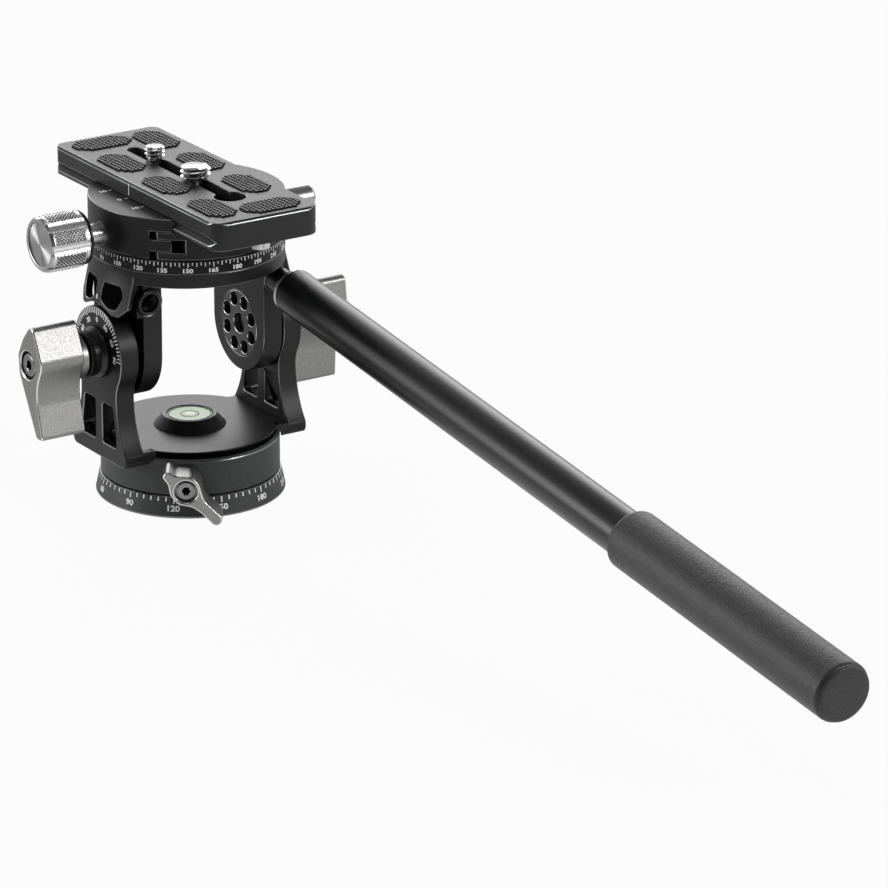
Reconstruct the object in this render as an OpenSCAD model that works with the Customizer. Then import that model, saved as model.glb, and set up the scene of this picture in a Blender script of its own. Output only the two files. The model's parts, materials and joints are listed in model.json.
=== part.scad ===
// Two-way pan and tilt head with a side handle, for a tripod with a 3/8 inch screw.
// Millimetres. The origin is the centre of the tripod socket's mouth, on the foot of the base ring.
// +Z is up and the pan axis, X is the tilt axis, and the handle points to the front, -Y.

/* [Base] */
// Diameter of the graduated base ring at its foot
base_d = 59.8; // [58.4:0.1:61]
// Height of the base ring
base_h = 6.8; // [5.5:0.1:9]
// How much the ring's radius shrinks from foot to top
base_flare = 1.4; // [0.6:0.1:2.5]
// Chamfer round the foot
base_chamfer = 0.6; // [0.2:0.1:1.2]
// Diameter of the tripod socket (3/8 inch, 16 threads to the inch)
tripod_thread_d = 9.525; // [9.4:0.005:9.6]
// Depth of the tripod socket
tripod_depth = 10; // [8:0.5:10.5]
// Outer diameter of the tripod thread insert
tripod_insert_d = 13; // [12:0.5:15]

/* [Pan bearing] */
// Diameter of the lower spindle
spindle_d = 22; // [19:0.5:23]
// Diameter of the spindle's foot flange
spindle_flange_d = 30; // [27:0.5:36]
// Thickness of the spindle's foot flange
spindle_flange_t = 3; // [2:0.5:4]
// Open line between the base ring and the housing
pan_gap = 0.4; // [0.3:0.05:1]
// Diameter of the disc that holds the housing down
retainer_d = 28; // [26:0.5:29]
// Thickness of the retaining disc
retainer_t = 1.8; // [1.2:0.1:2.2]
// Diameter of the retaining screw's thread
retainer_screw_d = 5; // [3:0.5:6]

/* [Pan housing] */
// Diameter of the pan housing
housing_d = 56.4; // [55:0.1:58]
// Height of the pan housing
housing_h = 11.8; // [11.6:0.1:14]
// Thickness of the housing's floor, which turns on the spindle
housing_web = 9.2; // [9:0.1:9.3]
// Chamfer round the housing's top
housing_chamfer = 0.9; // [0.3:0.1:1.5]

/* [Pan lock] */
// Direction of the pan lock, turned from the front towards the left
lock_az = 32.5; // [30:0.5:36]
// Height of the pan lock's axis above the housing's underside
lock_rise = 5.7; // [5.2:0.1:6]
// Diameter of the pan lock's stud
lock_stud_d = 5; // [4:0.5:5]
// Diameter of the brake shoe
shoe_d = 5.6; // [5.3:0.1:5.8]
// Distance from the housing's side to the wing's face
wing_reach = 12.3; // [11.4:0.1:14.8]
// Thickness of the wing's lobes
wing_t = 9.4; // [6:0.2:9.4]
// Diameter of the wing's hub
wing_hub_d = 9.2; // [8.8:0.1:10]
// Diameter of the recess for the wing's cap screw
wing_recess_d = 7.2; // [6.4:0.1:7.6]

/* [Yoke] */
// Width of the yoke over its arms
yoke_w = 65.4; // [64:0.2:68]
// Thickness of a yoke arm
arm_t = 6.6; // [6:0.1:7]
// Thickness of the deck over the housing
deck_t = 2.1; // [1.6:0.1:3]
// Diameter of the deck
deck_d = 55; // [50:0.5:56]
// Depth of the foot from front to back
foot_w = 33; // [31:0.5:36]
// Height of the foot bar under the arms
foot_h = 4.5; // [3.6:0.1:5]
// Height of the tilt axis above the deck
tilt_rise = 29.9; // [28:0.1:34]
// Diameter of an arm's round head
head_d = 28.8; // [26:0.2:29.4]
// Width of an arm at its waist
waist_w = 21.6; // [19:0.2:24]
// Height of the waist above the deck
waist_rise = 16.9; // [15:0.1:19]
// Radius of the arm's hollow flanks
flank_r = 30; // [26:1:40]
// Width of the rib between an arm's two slots
slot_rib = 4; // [3:0.2:5]
// Height of the slots' lower end above the deck
slot_bottom = 0.8; // [0.6:0.1:2]
// Height above the deck where the slots begin to go right through
slot_sill = 3; // [2.4:0.1:6]
// Height of the slots' upper end above the deck
slot_top = 14; // [12:0.2:16]
// Depth of the slots' blind lower ends
slot_depth = 3.6; // [2:0.2:4.4]

/* [Level] */
// Diameter of the level's cone at the deck
level_d = 23; // [20:0.5:26]
// Diameter of the cone's upper edge
level_top_d = 16.6; // [16:0.1:18]
// Height of the cone
level_h = 3.5; // [2.6:0.1:5]
// Diameter of the vial
vial_d = 14.8; // [12:0.1:15.2]

/* [Tilt lock] */
// Diameter of the tilt studs
tilt_stud_d = 8; // [6:0.5:9]
// Diameter of the bush between a knob and its arm
bush_d = 16.4; // [13:0.2:18]
// Length of that bush
bush_l = 6.2; // [5:0.1:9]
// Length of the bush on the right, where the knob is screwed further in
right_bush_l = 2; // [1:0.1:6]
// How far the right knob is turned, its top to the front
right_knob_turn = 18; // [-30:1:60]
// Gap between the bush and the knob
knob_gap = 0.4; // [0.3:0.1:1]
// Diameter of a lever knob's hub
knob_hub_d = 14.2; // [13:0.2:16]
// Length of the hub beside the lever
knob_hub_l = 2.8; // [1:0.1:4]
// Width of the lever along the tilt axis
knob_lever_w = 15.4; // [12:0.2:20]
// Reach of the lever below the tilt axis
knob_drop = 22.7; // [19:0.1:24]
// Height of the knob above the tilt axis
knob_top = 14.3; // [12:0.1:17]
// Diameter of the recess for the knob's cap screw
knob_recess_d = 9; // [7.6:0.1:10]

/* [Bridge] */
// Gap between a yoke arm and the bridge, filled by a friction washer
tilt_gap = 1; // [0.6:0.1:1.6]
// Diameter of the friction washers
tilt_washer_d = 22; // [16:0.5:26]
// Thickness of a bridge arm
bridge_arm_t = 6.8; // [6:0.1:7.4]
// Width of a bridge arm
bridge_arm_w = 30.4; // [29:0.2:33]
// Height of the bridge's top above the tilt axis
bridge_rise = 29; // [28:0.1:32]
// Thickness of the bridge's top disc
bridge_top_t = 4.5; // [3.5:0.1:6]
// Diameter of the bridge's top disc
bridge_d = 60.8; // [59:0.2:64]
// Outward flare of the skirts from top to bottom
skirt_flare = 2.9; // [1:0.1:3.6]
// Wall of the skirts
skirt_t = 2.6; // [1.8:0.1:3.2]
// Width of a skirt from front to back
skirt_w = 27.2; // [25:0.2:29]
// Reach of the skirts' lowest corners above the tilt axis
skirt_low = 13.6; // [13:0.1:15]
// Clearance between the round head and the skirt's hollow edge
skirt_clear = 1.4; // [0.8:0.1:2]
// Diameter of the perforated disc inside each bridge arm
disc_d = 21.2; // [20.4:0.2:23]
// Thickness of that disc
disc_t = 2; // [1.2:0.1:2.6]
// Number of holes in the disc
disc_holes = 8; // [5:1:9]
// Diameter of those holes
disc_hole_d = 4.2; // [3:0.1:4.4]
// Diameter of the circle through those holes
disc_pitch_d = 15.6; // [14.6:0.1:16.4]
// Diameter of the disc's centre hole
disc_centre_d = 6.4; // [4:0.1:7]

/* [Handle] */
// Distance of a handle socket from the middle
handle_x = 22.8; // [22.6:0.1:23]
// Distance of the sockets' mouths in front of the tilt axis
socket_y = 15.8; // [15.4:0.1:17]
// Height of the sockets above the tilt axis
socket_rise = 18.2; // [17:0.1:19]
// Downward slope of the handle
handle_slope = 7.1; // [0:0.1:8]
// Diameter of a socket's boss
socket_boss_d = 9; // [8.6:0.1:9.4]
// Length of a socket's thread
socket_l = 10; // [7:0.5:12]
// Diameter of a socket (M6 thread)
socket_thread_d = 6; // [5.8:0.05:6.2]
// Outer diameter of the thread insert
socket_insert_d = 7.8; // [7:0.1:8]
// Diameter of the handle's neck
neck_d = 8.4; // [7:0.1:10]
// Length of the neck
neck_l = 8.4; // [5:0.1:14]
// Length of the bright collar
collar_l = 2.4; // [1.6:0.1:5]
// Diameter of the tube
tube_d = 14.4; // [12.5:0.1:16]
// Distance from the socket's mouth to the grip
grip_start = 197; // [120:1:240]
// Length of the grip
grip_l = 105; // [90:1:140]
// Diameter of the grip
grip_d = 18.6; // [17.8:0.1:22]
// Rounding of the grip's ends
grip_round = 3; // [1:0.1:4]
// Diameter of the end cap
cap_d = 13.6; // [8:0.1:14]

/* [Upper pan bearing] */
// Height of the graduated ring on the bridge
scale_h = 4.2; // [3.4:0.1:6]
// How far the graduated ring stands out of the bridge
scale_step = 0.1; // [0.05:0.05:0.5]
// Open line between the graduated ring and the clamp
top_gap = 0.5; // [0.4:0.05:1]
// Diameter of the upper spindle
top_spindle_d = 14; // [12:0.5:15]
// Diameter of the upper spindle's flange
top_flange_d = 32; // [26:0.5:38]
// Thickness of that flange
top_flange_t = 2; // [1.5:0.1:3]
// Diameter of the upper retaining disc
top_retainer_d = 20; // [18:0.5:20.5]
// Thickness of the upper retaining disc
top_retainer_t = 1.6; // [1.2:0.1:2]

/* [Clamp] */
// Diameter of the round clamp
clamp_d = 61.4; // [60:0.2:66]
// Height of the clamp's channel floor above its underside
clamp_floor = 8.8; // [8.6:0.1:10]
// Height of the jaws above the channel floor
jaw_h = 4.2; // [4:0.1:4.6]
// Distance from the middle to the body's left face
jaw_split_x = 22.7; // [22.2:0.1:23.4]
// Open gap between the body and the jaw
jaw_open = 1.6; // [1:0.1:3]
// Travel of the jaw outwards
jaw_travel = 3; // [2:0.1:4]
// Height of the jaw's tongue
tongue_h = 3.7; // [3:0.1:4]
// Reach of the tongue into the body
tongue_l = 3.3; // [2:0.1:3.8]
// Depth of the tongue's slot in the body
tongue_slot = 6.8; // [5.5:0.1:7.4]
// Height of the clamp screw's axis above the clamp's underside
clamp_screw_rise = 4.4; // [4.2:0.1:4.8]
// Diameter of the clamp screw's thread
clamp_screw_d = 5; // [4:0.5:5]
// Diameter of the clamp knob's smooth shaft
knob_shaft_d = 7; // [6:0.1:8]
// Distance from the middle to the clamp knob's outer face
clamp_knob_x = 52.4; // [50:0.2:58]
// Length of the clamp knob
clamp_knob_l = 13.8; // [10:0.2:15]
// Diameter of the clamp knob
clamp_knob_d = 18; // [15:0.2:19]
// Number of flutes round the clamp knob
clamp_knob_flutes = 7; // [5:1:9]
// Depth of the flutes
flute_depth = 1; // [0.4:0.1:1.4]
// Diameter of a guide pin
guide_pin_d = 2.6; // [2:0.1:3]
// Distance of the guide pins from the middle
guide_pin_y = 14; // [13:0.2:14.4]

/* [Upper pan lock] */
// Height of the upper pan lock's axis above the clamp's underside
upper_lock_rise = 3.6; // [3.2:0.1:3.7]
// Diameter of its stud
upper_stud_d = 3.5; // [2.5:0.5:3.5]
// Diameter of its knob
upper_knob_d = 8.2; // [7.4:0.2:9.6]
// Distance from the middle to the knob's outer face
upper_knob_x = 45; // [42:0.2:50]
// Gap between the knob and the clamp
upper_knob_gap = 1.2; // [0.5:0.1:3]

/* [Plate] */
// Width of the quick-release plate
plate_w = 38; // [37:0.1:39]
// Length of the plate
plate_l = 100; // [90:1:120]
// Thickness of the plate
plate_t = 9; // [8.6:0.1:11]
// Distance of the plate's middle behind the pan axis
plate_y = 1; // [-3:0.5:3]
// Radius of the plate's corners
plate_corner = 5; // [3:0.2:7]
// Chamfer round the plate's top
plate_chamfer = 0.7; // [0.3:0.1:1]
// Height of the dovetail's lip
lip_h = 1.3; // [1:0.1:1.6]
// Depth of the dovetail's groove
groove_d = 1.4; // [1:0.1:1.6]
// Clearance between the plate and the clamp
plate_clear = 0.2; // [0.15:0.05:0.3]
// Width of the slot for the camera screws
slot_w = 5; // [4.8:0.1:5.6]
// Distance from the keyhole's centre to the slot's rear end
slot_l = 58; // [52:1:59]
// Diameter of the keyhole
keyhole_d = 10; // [9.8:0.1:11]
// Distance of the keyhole in front of the plate's middle
keyhole_y = 27.3; // [25:0.1:29]
// Width of the hidden channel for the screws' heads
channel_w = 15; // [14.4:0.2:16]
// Depth of that channel
channel_h = 5.4; // [5:0.1:6]
// Height of the rubber pads above the plate
pad_h = 0.5; // [0.3:0.05:1]
// Length of a side pad
pad_l = 20; // [17:0.2:21]
// Width of a side pad
pad_w = 10.6; // [9:0.2:11]
// Distance from one side pad to the next
pad_pitch = 27.5; // [24:0.1:28]
// Length of an end pad
end_pad_l = 20.5; // [16:0.1:21]
// Diameter of the stop screws
stop_d = 6; // [4:0.2:7]
// How far the stop screws hang below the plate
stop_drop = 2.6; // [1.5:0.1:3.4]
// Distance of each stop screw from the plate's end
stop_inset = 5; // [4.5:0.5:7]

/* [Camera screws] */
// Diameter of the small camera screw (1/4 inch)
small_screw_d = 6.35; // [6.2:0.01:6.5]
// Diameter of the large camera screw (3/8 inch)
large_screw_d = 9.525; // [9.4:0.005:9.6]
// Height of the screws above the plate
screw_h = 4.4; // [3.6:0.1:6]
// Diameter of the screws' necks
screw_neck_d = 4.5; // [4:0.1:4.7]
// Length of bare neck above the plate
screw_neck_l = 0.7; // [0.3:0.1:1.4]
// Diameter of the screws' heads
screw_head_d = 10; // [8:0.1:11]
// Thickness of the screws' heads
screw_head_t = 2.2; // [1.6:0.1:2.6]
// Distance of the small screw behind the pan axis
small_screw_y = 19.3; // [17:0.1:21]
// Distance of the large screw in front of the pan axis
large_screw_y = 5.6; // [4:0.1:8]
// Thickness of the sliding clips
clip_t = 1; // [0.6:0.1:1.2]
// Length of the sliding clips along the plate
clip_l = 9; // [7:0.2:11]

/* [Fits] */
// Radial clearance where one piece turns in another
run_fit = 0.05; // [0.03:0.01:0.08]
// Radial clearance where one piece is fixed in another
seat_fit = 0.02; // [0.01:0.01:0.05]
// Clearance between flat faces that slide on each other
face_gap = 0.1; // [0.05:0.01:0.15]

/* [Hidden] */
$fn = 96;
// Overshoot of a cut past the face it opens
over = 1;
// Straight pieces in each rounded corner of an outline
arc_steps = 7;

// Colours
black_satin = [0.07, 0.07, 0.075];
black_gloss = [0.03, 0.03, 0.032];
titanium = [0.55, 0.55, 0.56];
bright = [0.8, 0.8, 0.82];
steel = [0.62, 0.62, 0.64];
slip_white = [0.88, 0.88, 0.85];
rubber_black = [0.05, 0.05, 0.05];
level_green = [0.62, 0.78, 0.55];
foam_grey = [0.13, 0.13, 0.135];
brass = [0.72, 0.58, 0.32];

// Proportions of the hidden screws
head_to_thread = 1.7;
hex_to_head = 0.5;
sunk_head = 0.7;
thread_share = 0.75;

// Heights, from the foot up
housing_z = base_h + pan_gap;
web_z = housing_z + housing_web;
deck_z = housing_z + housing_h;
deck_top = deck_z + deck_t;
foot_z = deck_top - foot_h;
tilt_z = deck_top + tilt_rise;
bridge_top = tilt_z + bridge_rise;
scale_top = bridge_top + scale_h;
clamp_z = scale_top + top_gap;
floor_z = clamp_z + clamp_floor;
jaw_top = floor_z + jaw_h;
plate_z = floor_z + plate_clear;
plate_top = plate_z + plate_t;
screw_top = plate_top + screw_h;

// Pan bearing
base_r = base_d / 2;
spindle_r = spindle_d / 2;
spindle_flange_r = spindle_flange_d / 2;
spindle_top = web_z + face_gap;
insert_r = tripod_insert_d / 2;
retainer_r = retainer_d / 2;
retainer_top = spindle_top + retainer_t;
pocket_clear = 0.6;
retainer_pocket_r = retainer_r + pocket_clear;
retainer_head_d = retainer_screw_d * head_to_thread;
retainer_head_t = retainer_t * sunk_head;
retainer_thread_l = (spindle_top - tripod_depth) * thread_share;
washer_bore_gap = 1;
washer_edge = 4;
washer_in_r = spindle_r + washer_bore_gap;
washer_out_r = base_r - base_flare - washer_edge;
housing_r = housing_d / 2;

// Screws that hold the yoke on the housing
yoke_screw_d = 3;
yoke_screw_head_d = 5.5;
yoke_screw_head_h = 3;
yoke_screw_sink = 0.3;
spigot_wall = 7;
spigot_in_r = retainer_pocket_r + pocket_clear;
spigot_out_r = spigot_in_r + spigot_wall;
spigot_h = 2.5;
yoke_screw_r = (spigot_in_r + spigot_out_r) / 2;
yoke_screw_top = deck_z + deck_t / 2;

// Pan lock, along its own axis
lock_z = housing_z + lock_rise;
lock_stud_r = lock_stud_d / 2;
shoe_r = shoe_d / 2;
shoe_gap = 0.3;
shoe_l = 5;
shoe_end_r = spindle_r + shoe_gap + shoe_l;
wing_recess_depth = 2.4;
wing_cap_room = 1.6;
wing_cap_head_d = wing_recess_d - wing_cap_room;
wing_cap_head_h = 1.6;
wing_cap_thread_d = 3;
wing_cap_thread_l = 5;
wing_gap = 0.8;
wing_back_r = housing_r + wing_gap;
wing_face_r = housing_r + wing_reach;
stud_cover = 1.2;
lock_stud_end_r = wing_face_r - wing_recess_depth - stud_cover;
// Corners of the wing seen from outside: a short lobe up to the left, a long one down to the right
wing_points = [[-5.8, 6.7], [-3, 5.1], [2.2, 4.8], [4.4, 1.2], [5.6, -3.2], [11.7, -9], [9.4, -12.1],
    [4.8, -7.1], [1.8, -5], [-2.6, -4.2], [-4.9, -1], [-5.4, 2.2], [-7.3, 4.8]];
wing_radii = [1.1, 3, 3, 4, 6, 1.8, 1.8, 6, 5, 3, 3, 3, 1.1];

// Yoke
yoke_x = yoke_w / 2;
arm_x = yoke_x - arm_t;
head_r = head_d / 2;
foot_y = foot_w / 2;
foot_nose_r = foot_h / 2;
waist_z = deck_top + waist_rise;
flank_y = waist_w / 2 + flank_r;
// The neck's hollow runs from the waist smoothly into the round head
neck_drop = tilt_z - waist_z;
neck_r = (pow(waist_w / 2, 2) + pow(neck_drop, 2) - pow(head_r, 2)) / (head_d - waist_w);
neck_y = waist_w / 2 + neck_r;
neck_top_y = head_r * neck_y / (head_r + neck_r);
neck_top_z = tilt_z - head_r * neck_drop / (head_r + neck_r);
slot_side_margin = 2;
slot_spread = 2;
housing_clear = 0.3;
slot_corner = 1.3;

// Level
vial_floor = 0.9;

// Tilt lock, outwards along the tilt axis
tilt_stud_r = tilt_stud_d / 2;
bush_r = bush_d / 2;
bush_groove = 1;
bush_lip = 0.3;
bush_steps = [0.2, 0.4, 0.7];
function bush_len(right) = right ? right_bush_l : bush_l;
function bush_x(right) = yoke_x + bush_len(right);
function knob_x(right) = bush_x(right) + knob_gap;
function lever_x(right) = knob_x(right) + knob_hub_l;
function knob_face_x(right) = lever_x(right) + knob_lever_w;
knob_recess_depth = 2.6;
tilt_cap_room = 2;
tilt_cap_head_d = knob_recess_d - tilt_cap_room;
tilt_cap_head_h = 2.2;
tilt_cap_thread_d = 4;
tilt_cap_thread_l = 6;
tilt_stud_cover = 1.5;
function knob_recess_x(right) = knob_face_x(right) - knob_recess_depth;
function tilt_stud_end_x(right) = knob_recess_x(right) - tilt_stud_cover;
// Corners of the lever about the tilt axis: a pointed top, a full middle and a long lower blade
lever_points = [[-2.9, knob_top], [-9, 1.7], [-4.4, -7.3], [-8.4, -knob_drop], [-4.6, -knob_drop],
    [5.4, -3.9], [5.9, 2.3], [2.6, 8.3]];
lever_radii = [2, 5, 14, 1.2, 1.6, 6, 4, 12];

// Bridge
bridge_x = arm_x - tilt_gap;
bridge_in_x = bridge_x - bridge_arm_t;
bridge_arm_r = bridge_arm_w / 2;
bridge_r = bridge_d / 2;
bridge_under = bridge_top - bridge_top_t;
skirt_arc_r = head_r + skirt_clear;
disc_x = bridge_in_x;
disc_pocket_x = bridge_in_x + disc_t;
stud_disc_gap = 0.4;
tilt_stud_in_x = disc_pocket_x + stud_disc_gap;
skirt_half = skirt_w / 2;
skirt_corner = 3;
socket_web_t = 3;
window_sill = 0.9;
window_head = 1.4;
window_top = bridge_under - tilt_z - window_head;
window_low = skirt_arc_r + window_sill;
// Corners of the front window in a skirt, about the tilt axis
window_points = [[1.6, window_top], [9.8, window_top], [11.2, window_top - 3], [9.4, window_low - 1.2],
    [5.6, window_low - 1], [1.6, window_low + 0.8]];
window_round = 1.8;

// Handle, outwards from the socket's mouth
socket_boss_r = socket_boss_d / 2;
socket_floor = 2;
socket_boss_l = socket_l + socket_floor;
tube_r = tube_d / 2;
grip_r = grip_d / 2;
grip_end = grip_start + grip_l;
collar_start = neck_l;
tube_start = neck_l + collar_l;
stud_in_tube = 6;
cap_r = cap_d / 2;
tube_wall = 1.5;
plug_fit = 0.1;
cap_plug_r = tube_r - tube_wall - plug_fit;
cap_plug_l = 8;
cap_t = 2.6;
tube_end = grip_end - cap_t;
collar_lip = 0.6;
collar_taper = 0.6;

// Upper pan bearing
scale_r = bridge_r + scale_step;
top_spindle_r = top_spindle_d / 2;
top_flange_r = top_flange_d / 2;
top_head_room = 1.4;
top_head_share = 0.8;
top_pocket_z = floor_z - top_retainer_t - top_head_room;
top_spindle_top = top_pocket_z + face_gap;
top_retainer_r = top_retainer_d / 2;
top_pocket_r = top_retainer_r + pocket_clear;
top_screw_d = 4;
top_screw_head_d = 7;
top_screw_head_h = 2.6;
top_washer_t = top_gap - face_gap;
top_washer_edge = 5;

// Clamp
clamp_r = clamp_d / 2;
split_x = -jaw_split_x;
jaw_x = split_x - jaw_open;
tongue_z = clamp_z + clamp_screw_rise - tongue_h / 2;
tongue_end_x = jaw_x + jaw_open + tongue_l;
tongue_slot_x = split_x + tongue_slot;
tongue_gap = 0.2;
clamp_screw_z = clamp_z + clamp_screw_rise;
clamp_screw_r = clamp_screw_d / 2;
bore_wall = 0.4;
clamp_bore_end_x = -top_pocket_r - bore_wall;
clamp_screw_end_x = clamp_bore_end_x - bore_wall;
knob_shaft_r = knob_shaft_d / 2;
shaft_floor = 4;
shaft_in_x = jaw_x - shaft_floor;
clamp_knob_r = clamp_knob_d / 2;
clamp_knob_back_x = clamp_knob_x - clamp_knob_l;
knob_ring_t = 1;
knob_ring_step = 1.6;
knob_ring_r = clamp_knob_r - knob_ring_step;
knob_rim = 0.9;
knob_dish = 0.45;
knob_dish_r = clamp_knob_r - 2 * knob_rim;
flute_r = 2.6;
flute_turn = -12;
guide_pin_r = guide_pin_d / 2;
guide_pin_hold = 5;
guide_pin_reach = jaw_travel / 2;
guide_pin_in_x = tongue_slot_x + guide_pin_hold;
jaw_face = plate_w / 2 + plate_clear;

// Upper pan lock
upper_lock_z = clamp_z + upper_lock_rise;
upper_stud_r = upper_stud_d / 2;
upper_knob_r = upper_knob_d / 2;
upper_shoe_l = 4;
upper_shoe_gap = 0.3;
upper_shoe_end_x = top_spindle_r + upper_shoe_gap + upper_shoe_l;
upper_knob_in_x = clamp_r + upper_knob_gap;
upper_neck_l = 3;
upper_neck_step = 1.2;
upper_neck_r = upper_knob_r - upper_neck_step;

// Plate
plate_half = plate_w / 2;
plate_front = plate_y - plate_l / 2;
plate_back = plate_y + plate_l / 2;
groove_z = plate_z + lip_h + groove_d;
slab_z = groove_z + groove_d;
lip_chamfer = 0.4;
keyhole_at = plate_y - keyhole_y;
slot_end = keyhole_at + slot_l;
channel_top = plate_z + channel_h;
screw_head_z = channel_top - face_gap - clip_t - face_gap - screw_head_t;
clip_z = channel_top - face_gap - clip_t;
clip_side_gap = 0.5;
clip_w = channel_w - 2 * clip_side_gap;
thread_z = plate_top + screw_neck_l;
head_slot_w = 1.4;
head_slot_depth = 1;
stop_thread_d = 3;
stop_thread_l = 4;
pad_slot_gap = 3;
pad_x = slot_w / 2 + pad_slot_gap + pad_w / 2;
pad_cut_l = 0.2;
pad_cut_w = 0.3;
pad_round = 2;
pads_a_side = 3;
left_pad_y = 20.2;
right_pad_y = 36;
end_pad_inset = 8.2;

// Axis helpers
module rod_z(r, z0, z1) {
    translate([0, 0, z0]) cylinder(r = r, h = z1 - z0);
}

module rod_x(r, x0, x1) {
    translate([x0, 0, 0]) rotate([0, 90, 0]) cylinder(r = r, h = x1 - x0);
}

module tube_z(r_out, r_in, z0, z1) {
    difference() {
        rod_z(r_out, z0, z1);
        rod_z(r_in, z0 - over, z1 + over);
    }
}

module tube_x(r_out, r_in, x0, x1) {
    difference() {
        rod_x(r_out, x0, x1);
        rod_x(r_in, x0 - over, x1 + over);
    }
}

module block(low, high) {
    translate(low) cube(high - low);
}

// An outline in Y and Z, drawn out along X
module extrude_x(x0, x1) {
    translate([x0, 0, 0]) rotate([90, 0, 90]) linear_extrude(x1 - x0) children();
}

// An outline in X and Z, drawn out along Y
module extrude_y(y0, y1) {
    translate([0, y1, 0]) rotate([90, 0, 0]) linear_extrude(y1 - y0) children();
}

module on_tilt_axis() {
    translate([0, 0, tilt_z]) children();
}

// The right-hand piece as drawn, or its mirror image on the left
module on_side(right) {
    if (right) children();
    else mirror([1, 0, 0]) children();
}

module both_sides() {
    on_side(true) children();
    on_side(false) children();
}

// The pan lock's axis: +Z outwards, +Y up
module on_lock_axis() {
    translate([0, 0, lock_z]) rotate([0, 0, -lock_az]) rotate([90, 0, 0]) children();
}

// A handle socket's axis: +Z outwards from the mouth
module on_socket_axis() {
    translate([handle_x, -socket_y, tilt_z + socket_rise])
        rotate([90 + handle_slope, 0, 0]) children();
}

// Outlines with rounded corners
function unit(v) = v / norm(v);

function corner(before, at, after, r) =
    let (u = unit(before - at), w = unit(after - at))
    let (half = acos(u * w) / 2)
    let (centre = at + unit(u + w) * r / sin(half))
    let (start = at + u * r / tan(half) - centre, stop = at + w * r / tan(half) - centre)
    let (a0 = atan2(start[1], start[0]), a1 = atan2(stop[1], stop[0]))
    let (sweep = (a1 - a0 + 540) % 360 - 180)
    [for (i = [0 : arc_steps]) let (a = a0 + sweep * i / arc_steps) centre + r * [cos(a), sin(a)]];

function rounded(points, radii) =
    let (n = len(points))
    [for (i = [0 : n - 1]) each corner(points[(i + n - 1) % n], points[i], points[(i + 1) % n], radii[i])];

function same(r, n) = [for (i = [1 : n]) r];

// A cap screw with a hexagon socket, head up, resting at z = 0
module cap_screw(head_d, head_h, thread_d, thread_l) {
    difference() {
        union() {
            rod_z(head_d / 2, 0, head_h);
            rod_z(thread_d / 2, -thread_l, over / 2);
        }
        translate([0, 0, head_h / 2]) cylinder(d = head_d * hex_to_head, h = head_h, $fn = 6);
    }
}

// Base and lower pan bearing

module base_ring() {
    color(black_satin) rotate_extrude() polygon([
        [spindle_flange_r + seat_fit, 0],
        [base_r - base_chamfer, 0],
        [base_r, base_chamfer],
        [base_r - base_flare, base_h],
        [spindle_r + seat_fit, base_h],
        [spindle_r + seat_fit, spindle_flange_t],
        [spindle_flange_r + seat_fit, spindle_flange_t]]);
}

module tripod_insert() {
    color(brass) tube_z(insert_r, tripod_thread_d / 2, 0, tripod_depth);
}

module pan_spindle() {
    color(steel) difference() {
        union() {
            rod_z(spindle_flange_r, 0, spindle_flange_t);
            rod_z(spindle_r, 0, spindle_top);
        }
        rod_z(insert_r + seat_fit, -over, tripod_depth);
        rod_z(retainer_screw_d / 2 + seat_fit, spindle_top - retainer_thread_l, spindle_top + over);
    }
}

module pan_thrust_washer() {
    color(slip_white) tube_z(washer_out_r, washer_in_r, base_h, housing_z - face_gap);
}

module pan_retainer() {
    color(steel) difference() {
        rod_z(retainer_r, spindle_top, retainer_top);
        rod_z(retainer_screw_d / 2 + seat_fit, spindle_top - over, retainer_top + over);
        rod_z(retainer_head_d / 2 + seat_fit, retainer_top - retainer_head_t, retainer_top + over);
    }
}

module pan_retainer_screw() {
    color(steel) translate([0, 0, retainer_top - retainer_head_t])
        cap_screw(retainer_head_d, retainer_head_t, retainer_screw_d,
            retainer_thread_l + retainer_t - retainer_head_t);
}

// Pan housing, its lock and the level

module yoke_screw_places() {
    for (a = [0 : 90 : 270]) rotate([0, 0, a]) translate([yoke_screw_r, 0, 0]) children();
}

module pan_housing() {
    color(black_satin) difference() {
        rotate_extrude() polygon([
            [0, housing_z],
            [housing_r, housing_z],
            [housing_r, deck_z - housing_chamfer],
            [housing_r - housing_chamfer, deck_z],
            [0, deck_z]]);
        rod_z(spindle_r + run_fit, housing_z - over, deck_z + over);
        rod_z(retainer_pocket_r, web_z, deck_z + over);
        rod_z(spigot_out_r + seat_fit, deck_z - spigot_h, deck_z + over);
        on_lock_axis() rod_z(shoe_r + run_fit, 0, shoe_end_r);
        on_lock_axis() rod_z(lock_stud_r + run_fit, 0, housing_r + over);
        yoke_screw_places() {
            rod_z(yoke_screw_d / 2 + seat_fit, housing_z - over, deck_z + over);
            rod_z(yoke_screw_head_d / 2 + seat_fit, housing_z - over,
                housing_z + yoke_screw_sink + yoke_screw_head_h);
        }
    }
}

module yoke_screws() {
    head_z = housing_z + yoke_screw_sink + yoke_screw_head_h;
    color(steel) yoke_screw_places() difference() {
        union() {
            rod_z(yoke_screw_head_d / 2, head_z - yoke_screw_head_h, head_z);
            rod_z(yoke_screw_d / 2, head_z, yoke_screw_top);
        }
        translate([0, 0, head_z - yoke_screw_head_h - over])
            cylinder(d = yoke_screw_head_d * hex_to_head, h = over + yoke_screw_head_h / 2, $fn = 6);
    }
}

module pan_brake_shoe() {
    color(brass) difference() {
        on_lock_axis() rod_z(shoe_r, spindle_r - over, shoe_end_r - shoe_gap);
        rod_z(spindle_r + shoe_gap, housing_z, web_z);
    }
}

module level_bezel() {
    color(rubber_black) difference() {
        translate([0, 0, deck_top]) cylinder(d1 = level_d, d2 = level_top_d, h = level_h);
        rod_z(vial_d / 2 + seat_fit, deck_top + vial_floor, deck_top + level_h + over);
    }
}

module level_vial() {
    color(level_green) rod_z(vial_d / 2, deck_top + vial_floor, deck_top + level_h);
}

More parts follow.
